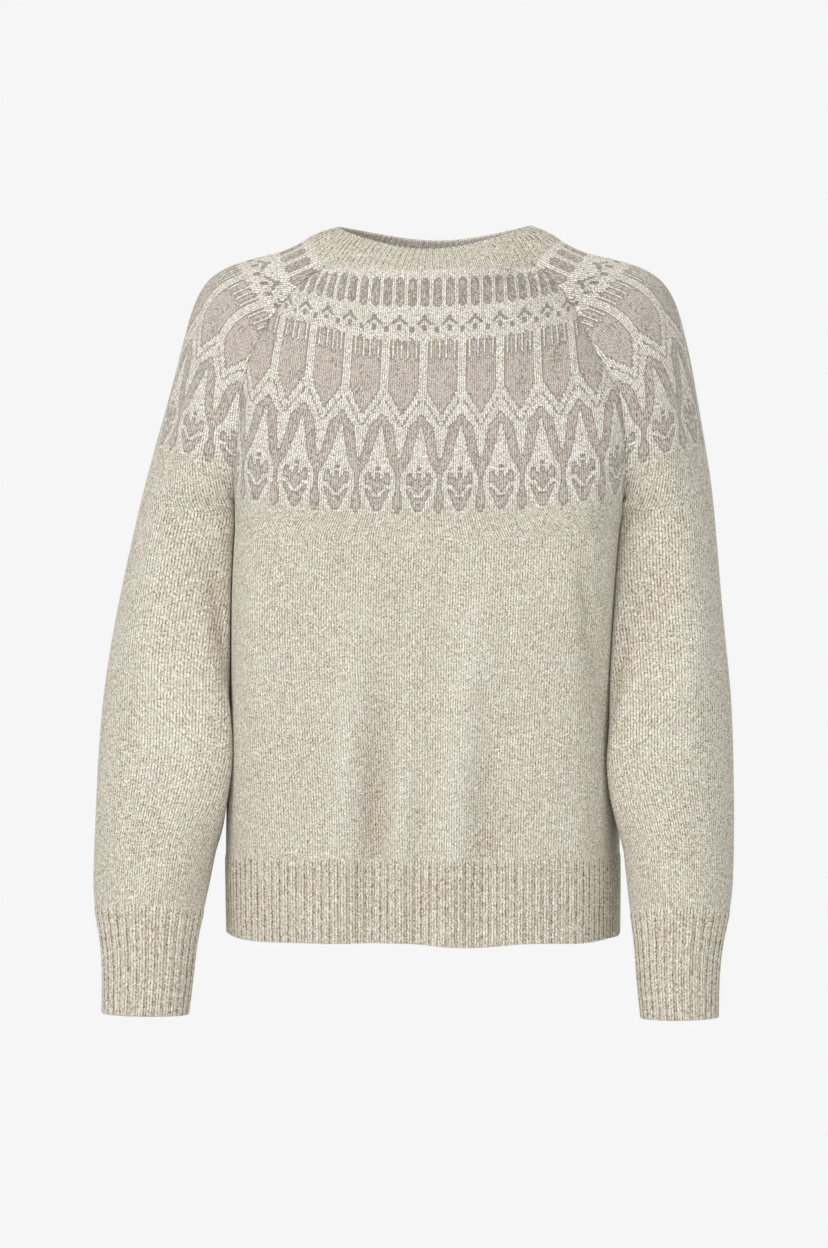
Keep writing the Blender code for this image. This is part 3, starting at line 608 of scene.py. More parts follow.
def shell_object(name, points, seam, painted_shade, parts, materials):
    """A closed mesh from points and parts of four-cornered faces, turned to face outwards.

    A part is (point numbers, stitch map, yarn, material number) of its faces. A corner that
    repeats its neighbour is left out. The sum of the corners' triple products is six times the
    volume, and it is negative where the faces point inwards.
    """
    ids, uv = (np.concatenate([part[i] for part in parts]) for i in (0, 1))
    yarn, layer = (
        np.concatenate([np.broadcast_to(part[i], len(part[0])) for part in parts]) for i in (2, 3)
    )
    place = [points[ids[:, i]] for i in range(4)]
    volume = sum(np.sum(place[0] * np.cross(place[i], place[i + 1])) for i in (1, 2))
    if volume < 0.0:
        ids, uv = ids[:, ::-1], uv[:, ::-1]
    corner = ids != np.roll(ids, -1, axis=1)
    sound = corner.sum(1) >= 3
    ids, uv, yarn, layer, corner = (values[sound] for values in (ids, uv, yarn, layer, corner))
    totals = corner.sum(1)
    used, loops = np.unique(ids[corner], return_inverse=True)
    mesh = bpy.data.meshes.new(name)
    mesh.vertices.add(len(used))
    mesh.vertices.foreach_set("co", (points[used] * MM).astype(np.float32).ravel())
    mesh.loops.add(len(loops))
    mesh.loops.foreach_set("vertex_index", loops.astype(np.int32).ravel())
    mesh.polygons.add(len(totals))
    starts = np.concatenate([[0], np.cumsum(totals)[:-1]])
    mesh.polygons.foreach_set("loop_start", starts.astype(np.int32))
    mesh.polygons.foreach_set("loop_total", totals.astype(np.int32))
    mesh.update(calc_edges=True)
    mesh.validate()
    for material in materials:
        mesh.materials.append(material)
    mesh.polygons.foreach_set("material_index", layer.astype(np.int32))
    stitches = mesh.uv_layers.new(name="stitches")
    stitches.data.foreach_set("uv", uv[corner].astype(np.float32).ravel())
    # The last of these holds each point's painted shade of rib grooves and fold troughs, and
    # painted light on fold ridges.
    for label, values, domain in (
        ("yarn", yarn, "FACE"),
        ("seam", seam[used], "POINT"),
        ("painted_shade", painted_shade[used], "POINT"),
    ):
        attribute = mesh.attributes.new(label, "FLOAT", domain)
        attribute.data.foreach_set("value", values.astype(np.float32))
    mesh.shade_smooth()
    mesh.set_sharp_from_angle(angle=np.radians(RIM_ANGLE))
    piece = bpy.data.objects.new(name, mesh)
    bpy.context.scene.collection.objects.link(piece)
    return piece


def corners(values):
    """The four corner values of each face of a grid, turned down first and then across."""
    faces = [values[:-1, :-1], values[1:, :-1], values[1:, 1:], values[:-1, 1:]]
    return np.stack(faces, 2).reshape(-1, 4, *values.shape[2:])


def rim(chains, turned):
    """A part of plain faces between four chains of point numbers, turned round or not."""
    faces = np.stack(chains[::-1] if turned else chains, -1)
    return faces, np.zeros((len(faces), 4, 2)), GROUND, 0


def strip(fine, coarse):
    """Chains for the faces between two edges, the first with at least as many points: each of
    them goes to the nearest of the other edge by its share of the length."""
    count, fewer = len(fine) - 1, len(coarse) - 1
    step = np.floor(np.arange(count + 1) * fewer / count + 0.5).astype(int)
    return [fine[:-1], fine[1:], coarse[step[1:]], coarse[step[:-1]]]


def point_numbers(column, first, last, closed, width):
    """Point numbers of a grid with so many points in a row, from its columns. In a closed row
    the last column's point is the first one's."""
    column = np.where(closed & (column == last), first, column)
    return np.arange(len(column))[:, None] * width + column


def by_row(at, keys, values):
    """For each row, the values at some places between its keys, on straight lines."""
    values = np.broadcast_to(values, keys.shape)
    return np.stack([np.interp(*row) for row in zip(at, keys, values)])


# ---- the yoke pattern ----------------------------------------------------------------------

GROUND, CREAM, GREY, OUTLINE = 0.0, 1.0, 2.0, 3.0
CHART_COURSES = 122
REPEAT = 18

# Half width in stitches of the leaf and of the oval's ring, by course.
LEAF = np.array([
    (79.0, 0.6), (82.0, 1.1), (85.7, 1.9), (90.0, 2.9), (94.3, 3.9), (98.0, 5.3), (100.0, 6.4),
    (102.4, 7.4), (104.0, 7.8), (111.0, 7.8), (113.0, 7.2), (115.0, 6.4), (117.0, 5.3),
    (119.0, 4.3), (121.0, 2.6), (122.0, 1.6),
]).T
OVAL_RING = 2.4
OVAL_BLOB = np.array([(113.5, 4.2), (115.0, 3.9), (117.0, 3.0), (119.0, 2.2), (121.0, 1.0)]).T
SPIKE = np.array([(80.0, 5.4), (81.0, 5.8), (85.0, 6.6), (90.0, 7.4), (94.0, 8.1), (95.0, 9.0)]).T


def yoke_chart(across, course):
    """Yarn of a stitch, by its stitches from the centre wale and its course below the neck.

    The repeat is 18 stitches, mirrored about its middle: k counts stitches from a pillar.
    """
    away = np.abs((across + REPEAT / 2) % REPEAT - REPEAT / 2)
    k = np.floor(away)
    c = np.floor(course)
    yarn = np.where(c < CHART_COURSES, CREAM, GROUND)

    six = np.abs((across + 3.0) % 6.0 - 3.0)
    bar_end = (c == 4) | (c == 18)
    bar = (c >= 4) & (c <= 18) & (six < np.where(bar_end, 1.0, 2.0))
    yarn = np.where(bar, GREY, yarn)

    twelve = np.abs((across + 6.0) % 12.0 - 6.0)
    peak = (c >= 23) & (c <= 24) & (twelve < 1)
    peak |= (c >= 25) & (c <= 27) & (twelve >= c - 25) & (twelve < c - 23)
    dots = (c >= 28) & (c <= 30) & (twelve < 1)
    dots |= (c >= 29) & (c <= 31) & (twelve > 5)
    yarn = np.where(peak | dots, OUTLINE, yarn)

    tooth = (k == 2) | ((k >= 4) & (k <= 6)) | (k == 8)
    comb = (c >= 35) & (c < 45) & tooth
    comb &= ~((c == 35) & (k != 5))
    yarn = np.where(comb, GREY, yarn)
    foot = 61.5 + 1.85 * (k - 2.0)
    shield = (c >= 45) & (k >= 2) & (c < foot)
    yarn = np.where(shield, GREY, yarn)

    leaf = away < np.interp(c + 0.5, *LEAF)
    slope = c >= np.floor(73.5 + 1.25 * k)
    outside = away < np.interp(c + 0.5, *SPIKE, left=9.0, right=10.0)
    arms = slope & outside & ~(leaf & (c >= 79)) & (c < 112)
    yarn = np.where(arms, GREY, yarn)
    drop = (c >= 112) & (c < 122) & (k >= np.where(c >= 120, 8.0, 7.0)) & ~leaf
    yarn = np.where(drop, GREY, yarn)
    yarn = np.where((c >= 112) & ~leaf & ~drop, GROUND, yarn)

    inside = away < np.interp(c + 0.5, *LEAF) - OVAL_RING
    point = (k >= 1) & (k <= 2) & (c <= 105 - k)
    lobes = inside & (c >= 102) & (c < 108) & ~point
    dot = (k == 0) & ((c == 99) | (c == 100))
    vee = 4.2 - 0.55 * (c - 108.0)
    cream_vee = (away >= vee - 1.3) & (away < np.where(c <= 109, 9.0, vee + 0.7))
    lower = inside & (c >= 108) & (c < 116) & ~cream_vee
    blob = (c >= 114) & (away < np.interp(c + 0.5, *OVAL_BLOB, left=0.0, right=0.0))
    yarn = outlined(np.where(lobes | dot | lower | blob, GREY, yarn))

    line = 66.5 + 1.65 * (k - 1.0)
    thin = (c > line - 0.9) & (c <= line + 0.8) & (k >= 1) & (c < 82) & (yarn == CREAM)
    yarn = np.where(thin, np.where((np.floor(2.0 * across) + c) % 3 < 2, OUTLINE, GREY), yarn)
    return np.where((yarn == GREY) & mottled(across, c), OUTLINE, yarn)


def mottled(across, c):
    """Where a grey stitch is of a darker ply: a fixed scatter, thicker where two slow waves of
    the stitches and the courses meet, and thickest in the bars, the arms and the drops."""
    part = np.floor(2.0 * across)
    scatter = np.abs(np.sin(12.9898 * part + 78.233 * c) * 43758.5453) % 1.0
    slow = np.sin(0.21 * part + 1.3 * np.sin(0.13 * c))
    slow = slow + np.sin(0.31 * c + 1.7 * np.sin(0.09 * part))
    plain = (c >= 47) & (c < 76)
    share = np.where(plain, 0.05 + 0.07 * np.maximum(slow, 0.0) ** 2, 0.24)
    return scatter < np.where(c < 20, 0.5, share)


# How many courses higher the pattern is drawn up towards the front's right raglan seam
LIFT = np.array([
    (0.0, 2.0), (20.0, 3.0), (35.0, 5.0), (50.0, 4.2), (68.0, 3.0), (90.0, 1.2), (108.0, 0.0),
]).T
LIFT_FROM = 14.0
LIFT_OVER = 50.0


def lifted(across, course):
    """The chart's course at a place of the front: a smooth step of the lift over its stitches."""
    return course + np.interp(course, *LIFT) * smooth_step((-across - LIFT_FROM) / LIFT_OVER)


def level(across, course):
    """The chart's course where the pattern isn't drawn up."""
    return course + 0.0 * across


def outlined(yarn):
    """The chart with the grey stitches that touch another yarn marked: they sink at its edge."""
    grey = np.pad(yarn == GREY, 1, mode="edge")
    inner = grey[2:, 1:-1] & grey[:-2, 1:-1] & grey[1:-1, 2:] & grey[1:-1, :-2]
    return np.where((yarn == GREY) & ~inner, OUTLINE, yarn)


# ---- panels of stitches --------------------------------------------------------------------

COURSE = 1.694
PLAIN_STEP = 4.0  # courses between the rows of points below the pattern
ZIGZAG = 0.3
WALE_RELIEF = 0.14
SEAM_TROUGH = 0.9
SEAM_REACH = 2.6
TROUGH_END = -190.0  # from here down the panels meet back to back
TROUGH_FADE = 70.0
FINE = 320
FOLD_DEEP = 7.0
FOLD_SHADE = 1.3  # of the painted shade of a rib's grooves, painted in the deepest fold troughs where little light falls
RIDGE_LIGHT = -0.5  # of that at most, as painted light on a fold's ridge
MIDDLE_SAMPLES = 900


def rows_below(start, end):
    """Evenly spaced courses after start, about PLAIN_STEP apart, with the last one at end."""
    count = int(round((end - start) / PLAIN_STEP))
    return np.linspace(start, end, count + 1)[1:]


def body_courses(rings, top):
    """Course numbers down the middle of the front or back, and the heights they belong to."""
    heights = np.linspace(top, RIB_TOP, MIDDLE_SAMPLES)
    middle = heights - read(rings, "sag", heights)
    return (middle[0] - middle) / COURSE, heights


# Course numbers of the sleeves and the heights they belong to
SLEEVE_COURSES = np.array([
    (0.0, -26.0), (19.5, -47.5), (35.0, -71.0), (75.0, -132.0), (97.0, -168.0),
    (121.0, -200.0), (146.0, -250.0), (308.0, -575.0),
]).T
# Width of a stitch by course
BODY_STITCH = np.array([(0.0, 1.76), (55.0, 1.80), (106.0, 1.93), (122.0, 1.94)]).T
SLEEVE_STITCH = np.array([
    (0.0, 2.8), (19.5, 3.0), (36.0, 2.4), (75.0, 2.3), (110.0, 2.45), (122.0, 2.47),
]).T


def knit_panel(name, plain, surface, facing, courses, stitch, half, ends, tube, drawn, materials):
    """A panel as a closed shell, from its surface function with folds and the plain one without.

    Point (r, j) lies on course r, half stitch j from the middle wale: it is read off the
    course's length at j times half a stitch's width, and stops at the seams. In the pattern
    every second one is ZIGZAG of a course lower, so that each stitch is two slanting faces. It
    stands out by WALE_RELIEF, up and down in turn, and sinks into the seam trough by a bell
    curve of its distance to the seam. Its painted shade is its depth below the plain surface
    over FOLD_DEEP, darker in fold troughs and lighter on ridges. The inner face has fewer
    columns and lies WALL deeper.
    """
    course_key, height_key = courses
    turn = np.interp(-UNDERARM, -height_key, course_key)
    rows = np.concatenate([
        np.arange(CHART_COURSES + 1.0),
        rows_below(CHART_COURSES, turn),
        rows_below(turn, course_key[-1]),
    ])
    height = np.interp(rows, course_key, height_key)
    fine = np.linspace(*ends, FINE + 1)
    arc = running_length(surface(*np.meshgrid(height, fine, indexing="ij")))
    arc = arc - arc[:, [FINE // 2]]
    start, end = arc[:, [0]], arc[:, [-1]]
    below = rows >= turn
    at_turn = np.argmax(below)
    width_there = (end[at_turn, 0] - start[at_turn, 0]) / (2 * half)
    width = np.interp(rows, np.append(stitch[0], turn), np.append(stitch[1], width_there))
    even = np.where(arc < 0.0, arc / -start, arc / end) * half
    wale = np.where(below[:, None], even, arc / width[:, None])

    reach = int(np.ceil(2 * max(-wale[:, 0].min(), wale[:, -1].max())))
    number = np.arange(-reach, reach + 1)
    low, high = wale[:, [0]], wale[:, [-1]]
    u = np.clip(number / 2.0, low, high)
    free = (number / 2.0 > low) & (number / 2.0 < high)
    odd = np.where(number % 2 == 1, 1.0, -1.0) * free
    patterned = (rows > 0) & (rows < CHART_COURSES)
    course = rows[:, None] + ZIGZAG * odd * patterned[:, None]
    h = np.interp(course, course_key, height_key)
    place = by_row(u, wale, fine)
    length = by_row(u, wale, arc)
    to_seam = np.minimum(length - start, end - length)
    trough = SEAM_TROUGH * np.clip((height[:, None] - TROUGH_END) / TROUGH_FADE, 0.0, 1.0)
    sink = lambda distance: trough * np.exp(-(distance / SEAM_REACH) ** 2)
    normal = facing * outward(surface, h, place)
    smooth = surface(h, place)
    outer = smooth + normal * (WALE_RELIEF * odd - sink(to_seam))[..., None]
    # Painted shade of the folds: the depth below the plain surface, darker in a trough and painted
    # lighter on a ridge
    sunk = -np.sum((smooth - plain(h, place)) * normal, axis=-1)
    shadow = FOLD_SHADE * np.clip(sunk / FOLD_DEEP, RIDGE_LIGHT, 1.0)

    closed = (below & tube)[:, None]
    first = (number / 2.0 <= low).sum(1) - 1
    last = len(number) - (number / 2.0 >= high).sum(1)
    column = np.clip(np.arange(len(number)), first[:, None], last[:, None])
    ids = point_numbers(column, first[:, None], last[:, None], closed, len(number))
    middle = (number[:-1] + 0.5) / 2.0
    yarn = yoke_chart(middle[None, :], drawn(middle[None, :], rows[:-1, None]))

    columns = int(half / 2)
    at = start + (end - start) * np.linspace(0.0, 1.0, columns + 1)
    inner_place = by_row(at, arc, fine)
    inner_h = np.broadcast_to(height[:, None], inner_place.shape)
    depth = WALL + sink(np.minimum(at - start, end - at))
    inner = surface(inner_h, inner_place)
    inner = inner - facing * outward(surface, inner_h, inner_place) * depth[..., None]
    column = np.broadcast_to(np.arange(columns + 1), inner_place.shape)
    inner_ids = ids.size + point_numbers(column, 0, columns, closed, columns + 1)
    inner_u = by_row(at, arc, wale)
    inner_uv = np.stack([inner_u, np.broadcast_to(rows[:, None], inner_u.shape)], -1)

    parts = [
        (corners(ids), corners(np.stack([u, course], -1)), yarn.ravel(), 0),
        (corners(inner_ids)[:, ::-1], corners(inner_uv)[:, ::-1], GROUND, 1),
    ]
    every = np.arange(len(rows))
    seams = slice(0, at_turn + 1) if tube else slice(0, len(rows))
    for edge, near, turned in ((first, 0, True), (last, -1, False)):
        edge, near = ids[every, edge][seams], inner_ids[seams, near]
        parts.append(rim([edge[:-1], edge[1:], near[1:], near[:-1]], turned))
    for r, turned in ((0, False), (-1, True)):
        parts.append(rim(strip(ids[r, first[r]:last[r] + 1], inner_ids[r]), turned))
    points = np.concatenate([outer.reshape(-1, 3), inner.reshape(-1, 3)])
    seam = np.append(to_seam, np.full(len(points) - to_seam.size, FAR))
    painted_shade = np.append(shadow, np.zeros(len(points) - shadow.size))
    return shell_object(name, points, seam, painted_shade, parts, materials)


# ---- ribs ----------------------------------------------------------------------------------

RIB_RISE = 0.95
RIB_DIP = 0.45
RIB_FOOT = 0.84  # of half a rib's width, where it starts to rise
RIB_FLANK = 0.34
PAIR_DIP, PAIR_HALF = 0.22, 0.17  # the narrow dip between a rib's two wales
# Painted shade in the dip between a rib's two wales, and its half width
PAIR_SHADE, PAIR_SHADE_HALF = 0.35, 0.12
RIB_COURSE = 1.9
INNER_RELIEF = 0.6
ROUND_ROWS = 6
RIB_SAMPLES = 2560
BAND_SAMPLES = 4000


def rib_profile(turn):
    """Height of a two by one rib, and its painted shade by how deep in the grooves, over one rib (0
    to 1).

    The top is a smooth step of the distance from the rib's middle, less a narrow bell curve
    between its two wales. The painted shade is 1 less the step, plus a narrower bell curve there.
    """
    off = np.abs(turn % 1.0 - 0.5) * 2.0
    top = smooth_step((RIB_FOOT - off) / RIB_FLANK)
    pair = PAIR_DIP * np.exp(-(off / PAIR_HALF) ** 2)
    between = PAIR_SHADE * np.exp(-(off / PAIR_SHADE_HALF) ** 2)
    return -RIB_DIP + (RIB_RISE + RIB_DIP) * top - pair, 1.0 - top + between


def ribbed_shell(name, middle, normal, rows, ribs, columns, closed, ease, relief, materials):
    """A rib as one closed profile carried along its courses.

    Its rows are its depth and how many rows of points it has inside and outside.
    middle(down, share) gives the wall's outer face. down goes from the free edge to where it is
    joined, and the profile goes up the outside, over the edge on half a circle of half the
    wall's thickness, and down the inside. The rib's height is added along the normals, fading
    in over the ease from where it is joined, times the relief, and the inside has the same ribs
    half a rib on.
    """
    depth, inner_rows, outer_rows = rows
    arc = np.linspace(0.0, np.pi, ROUND_ROWS + 1)[1:-1]
    r = WALL / 2.0
    outside = np.linspace(depth, r, outer_rows)
    inside = np.linspace(r, depth, inner_rows)
    way = np.concatenate([outside, r * (1.0 - np.sin(arc)), inside])
    face = np.concatenate([np.ones(outer_rows), np.cos(arc), -np.ones(inner_rows)])
    sunk = r * (1.0 - face)
    turn = np.linspace(0.0, ribs, ribs * columns + 1)
    share = turn / ribs
    w, s = np.meshgrid(way, share, indexing="ij")
    rise, painted_shade = rib_profile(turn)
    back_rise, back_painted_shade = rib_profile(turn + 0.5)
    joined_on = relief * np.clip((depth - way) / ease, 0.0, 1.0)[:, None]
    front_part = np.clip(face, 0.0, 1.0)[:, None] * joined_on
    back_part = np.clip(-face, 0.0, 1.0)[:, None] * joined_on
    rise = front_part * rise - INNER_RELIEF * back_part * back_rise
    points = middle(w, s)
    points = points + normal(w, s) * (rise - sunk[:, None])[..., None]
    # Painted shade in the grooves between ribs, outside and inside
    painted_shade = front_part * painted_shade + back_part * back_painted_shade
    count = len(turn)
    column = np.broadcast_to(np.arange(count), w.shape)
    ids = point_numbers(column, 0, count - 1, closed, count)
    run = np.concatenate([[0.0], np.cumsum(np.abs(np.diff(way)) + np.abs(np.diff(sunk)))])
    uv = np.stack(np.broadcast_arrays(3.0 * turn[None, :] - 0.5, run[:, None] / RIB_COURSE), -1)
    inside_out = (face[:-1, None] < 0.0) & np.ones((1, count - 1), bool)
    parts = [
        (corners(ids), corners(uv), GROUND, inside_out.ravel().astype(int)),
        rim([ids[0, 1:], ids[0, :-1], ids[-1, :-1], ids[-1, 1:]], True),
    ]
    if not closed:
        half = (len(way) - 1) // 2
        for end, turned in ((0, True), (-1, False)):
            up, back = ids[:half + 1, end], ids[::-1, end][:half + 1]
            parts.append(rim([up[:-1], up[1:], back[1:], back[:-1]], turned))
    points = points.reshape(-1, 3)
    return shell_object(name, points, np.full(len(points), FAR), painted_shade.ravel(), parts, materials)


def even_share(surface, height, ends, samples):
    """Place by share of the length of one course, from its running length over many points."""
    fine = np.linspace(*ends, samples + 1)
    length = running_length(surface(np.full(fine.shape, height), fine))
    return lambda share: np.interp(share, length / length[-1], fine)


# How far the hem's free edge is drawn up, by the share of its length from the wearer's right
HEM_EDGE = np.array([
    (0.0, 4.0), (0.03, 3.0), (0.08, 3.4), (0.17, 1.6), (0.28, 1.2), (0.40, 1.5), (0.49, 1.6),
    (0.56, -1.0), (0.62, -1.4), (0.68, 1.2), (0.80, 0.8), (0.90, 2.0), (0.97, 1.6), (1.0, 3.5),
]).T


def hem_or_cuff(name, surface, facing, top, bottom, ends, ribs, closed, materials):
    """The rib below a panel of stitches, from its free edge up to the panel.

    A hem's courses are drawn up by HEM_EDGE at its free edge, and less and less above it.
    """
    place = even_share(surface, (top + bottom) / 2, ends, RIB_SAMPLES)
    depth = top - bottom

    def height(w, s):
        """The course's height at w above the free edge."""
        drawn_up = np.zeros_like(s) if closed else spline(*HEM_EDGE, s)
        return bottom + w + drawn_up * (1.0 - w / depth)

    middle = lambda w, s: surface(height(w, s), place(s))
    normal = lambda w, s: facing * outward(surface, height(w, s), place(s))
    rows = (depth, 10, 24)
    return ribbed_shell(name, middle, normal, rows, ribs, 9, closed, 5.0, 1.0, materials)


def neckband(name, materials):
    """The closed band: ribs at even shares of the length half way up it, lower than the others."""
    surface = band_surface(neck_edge())
    angle = even_share(surface, 0.5, (-np.pi, np.pi), BAND_SAMPLES)
    fine = np.linspace(-np.pi, np.pi, BAND_SAMPLES + 1)
    top, foot = (surface(np.full(fine.shape, down), fine) for down in (0.0, 1.0))
    depth = np.mean(np.linalg.norm(top - foot, axis=1))
    middle = lambda w, s: surface(w / depth, angle(s))
    normal = lambda w, s: band_normal(surface, w / depth, angle(s))
    rows = (depth, 9, 10)
    return ribbed_shell(name, middle, normal, rows, BAND_RIBS, 10, True, 1.5, 0.6, materials)


# ---- materials -----------------------------------------------------------------------------

class Signal:
    """A socket of a node tree that adds and multiplies as a number does, by Math nodes."""

    def __init__(self, tree, socket):
        self.tree, self.socket = tree, socket

    def math(self, operation, *others):
        """The result of one Math node, from this signal and other signals or numbers."""
        made = self.tree.nodes.new("ShaderNodeMath")
        made.operation = operation
        for place, value in zip(made.inputs, (self, *others)):
            plug(value, place)
        return Signal(self.tree, made.outputs[0])

    # The sum, difference, product and quotient with another signal or a number
    def __add__(self, other):
        return self.math("ADD", other)

    def __sub__(self, other):
        return self.math("SUBTRACT", other)

    def __mul__(self, other):
        return self.math("MULTIPLY", other)

    def __truediv__(self, other):
        return self.math("DIVIDE", other)


def plug(value, place):
    """Puts a signal, a socket or a plain value into an input."""
    socket = value.socket if isinstance(value, Signal) else value
    if isinstance(socket, bpy.types.NodeSocket):
        place.id_data.links.new(socket, place)
    else:
        place.default_value = socket


def add(tree, kind, settings=(), **inputs):
    """A node with some of its settings and its named inputs; i0 and i1 are the first two."""
    made = tree.nodes.new(kind)
    for setting, value in dict(settings).items():
        setattr(made, setting, value)
    for key, value in inputs.items():
        plug(value, made.inputs[int(key[1:]) if key[1:].isdigit() else key])
    return made


def read_attribute(tree, label):
    """A value that the mesh keeps for each point or face."""
    return Signal(tree, add(tree, "ShaderNodeAttribute", {"attribute_name": label}).outputs["Fac"])


def new_group(name, inputs, outputs):
    """An empty shader group with named vectors going in and named numbers coming out."""
    tree = bpy.data.node_groups.new(name, "ShaderNodeTree")
    for label in inputs:
        tree.interface.new_socket(label, in_out="INPUT", socket_type="NodeSocketVector")
    for label in outputs:
        tree.interface.new_socket(label, in_out="OUTPUT", socket_type="NodeSocketFloat")
    return tree, tree.nodes.new("NodeGroupInput"), tree.nodes.new("NodeGroupOutput")


def half_wave(signal):
    """The sine of half a turn over each whole number: 0 at its ends and 1 in its middle."""
    return (signal.math("FRACT") * np.pi).math("SINE")


def random_tone(tree, x, y, draw):
    """One random number from -1 to 1 for each whole x and y."""
    cell = add(tree, "ShaderNodeCombineXYZ", X=x.math("FLOOR"), Y=y.math("FLOOR"), Z=draw)
    kind = {"noise_dimensions": "3D"}
    noise = add(tree, "ShaderNodeTexWhiteNoise", kind, Vector=cell.outputs[0])
    return Signal(tree, noise.outputs["Value"]) * 2.0 - 1.0


LEG_POWER, LOOP_POWER = 0.6, 0.7  # below 1 they make the strands rounder
LOOP_SHARE = 0.55
STITCH_DRAW, FIBRE_DRAW = 0.5, 7.5
FIBRES_ACROSS, FIBRES_DOWN = 4.0, 3.0  # in one stitch


def stitch_group():
    """Stocking stitch on a map of stitches and courses, each of two legs slanting to its middle.

    A leg's level is the course plus ZIGZAG times a triangle wave of the stitch. The height is a
    half wave over the leg to a power, times a share of a half wave over the loop. Tone is a
    random number for each stitch, Grain one for each small part, and Wale a half wave over it.
    """
    labels = ("Height", "Tone", "Grain", "Wale")
    tree, start, end = new_group("stocking_stitch", ("Map",), labels)
    parts = add(tree, "ShaderNodeSeparateXYZ", i0=start.outputs["Map"])
    u, v = (Signal(tree, parts.outputs[axis]) for axis in (0, 1))
    triangle = (u.math("FRACT") - 0.5).math("ABSOLUTE") * 4.0 - 1.0
    drop = v + triangle * ZIGZAG
    leg = half_wave(u * 2.0).math("POWER", LEG_POWER)
    loop = half_wave(drop).math("POWER", LOOP_POWER)
    values = (
        leg * (loop * LOOP_SHARE + (1.0 - LOOP_SHARE)),
        random_tone(tree, u, drop, STITCH_DRAW),
        random_tone(tree, u * FIBRES_ACROSS, drop * FIBRES_DOWN, FIBRE_DRAW),
        half_wave(u),
    )
    for label, value in zip(labels, values):
        plug(value, end.inputs[label])
    return tree


# Scale, detail, roughness and gain of the yarn's flecks, its fuzz and its slow clouds of shade
WOOL = {
    "Fleck": (1500.0, 1.0, 0.6, 5.0),
    "Fuzz": (2600.0, 2.0, 0.8, 4.0),
    "Cloud": (26.0, 2.0, 0.5, 4.0),
}


def melange_group():
    """The spun yarn, from undyed fibres of several shades: noises about 0, times a gain."""
    tree, _, end = new_group("melange_wool", (), WOOL)
    place = add(tree, "ShaderNodeTexCoord").outputs["Object"]
    for label, (scale, detail, rough, gain) in WOOL.items():
        noise = add(
            tree, "ShaderNodeTexNoise", Vector=place, Scale=scale, Detail=detail, Roughness=rough
        )
        plug((Signal(tree, noise.outputs[0]) - 0.5) * gain, end.inputs[label])
    return tree


def linear(red, green, blue):
    """A colour of the screen, in 0 to 255, as the light that it stands for."""
    screen = np.array([red, green, blue]) / 255.0
    light = np.where(screen <= 0.04045, screen / 12.92, ((screen + 0.055) / 1.055) ** 2.4)
    return (*(float(value) for value in light), 1.0)


YARNS = {
    "oatmeal": linear(201, 194, 179),
    "cream": linear(211, 205, 194),
    "grey": linear(189, 180, 169),
    "outline": linear(153, 144, 133),
}
# Light fibres are less yellow than dark ones, so blue varies most with the tone.
FIBRE_SPREAD = (0.95, 1.06, 1.35)
DARKEST = 0.05
# Painted light: the inside's tone is raised by this, to lift the shade that falls inside the
# garment
INSIDE_PAINTED_LIGHT = 1.2
# How much each part changes the tone
GRAIN, STITCH_TONE, FLECK, CLOUD = 0.65, 0.05, 0.10, 0.012
IN_PATTERN = 0.75  # of the grain is left in the closer grey yarns
# Painted shade: darker between wales, and where strands sink between their tops
WALE_SHADE, WALE_MEAN = 0.55, 0.64
STRAND_PAINTED_SHADE, STRAND_PAINTED_SHADE_MEAN = 0.22, 0.15
# Painted shade in rib grooves and fold troughs; darker near the seams, and how near
GROOVE_SHADE, SEAM_SHADE, SEAM_SHADE_REACH = 0.12, 0.16, 1.6
FUZZ = 0.12  # of a strand's height, in the relief
WOOL_SURFACE = {
    "Roughness": 0.92,
    "Specular IOR Level": 0.2,
    "Sheen Weight": 0.35,
    "Sheen Roughness": 0.5,
    "Sheen Tint": (1.0, 0.95, 0.87, 1.0),
}


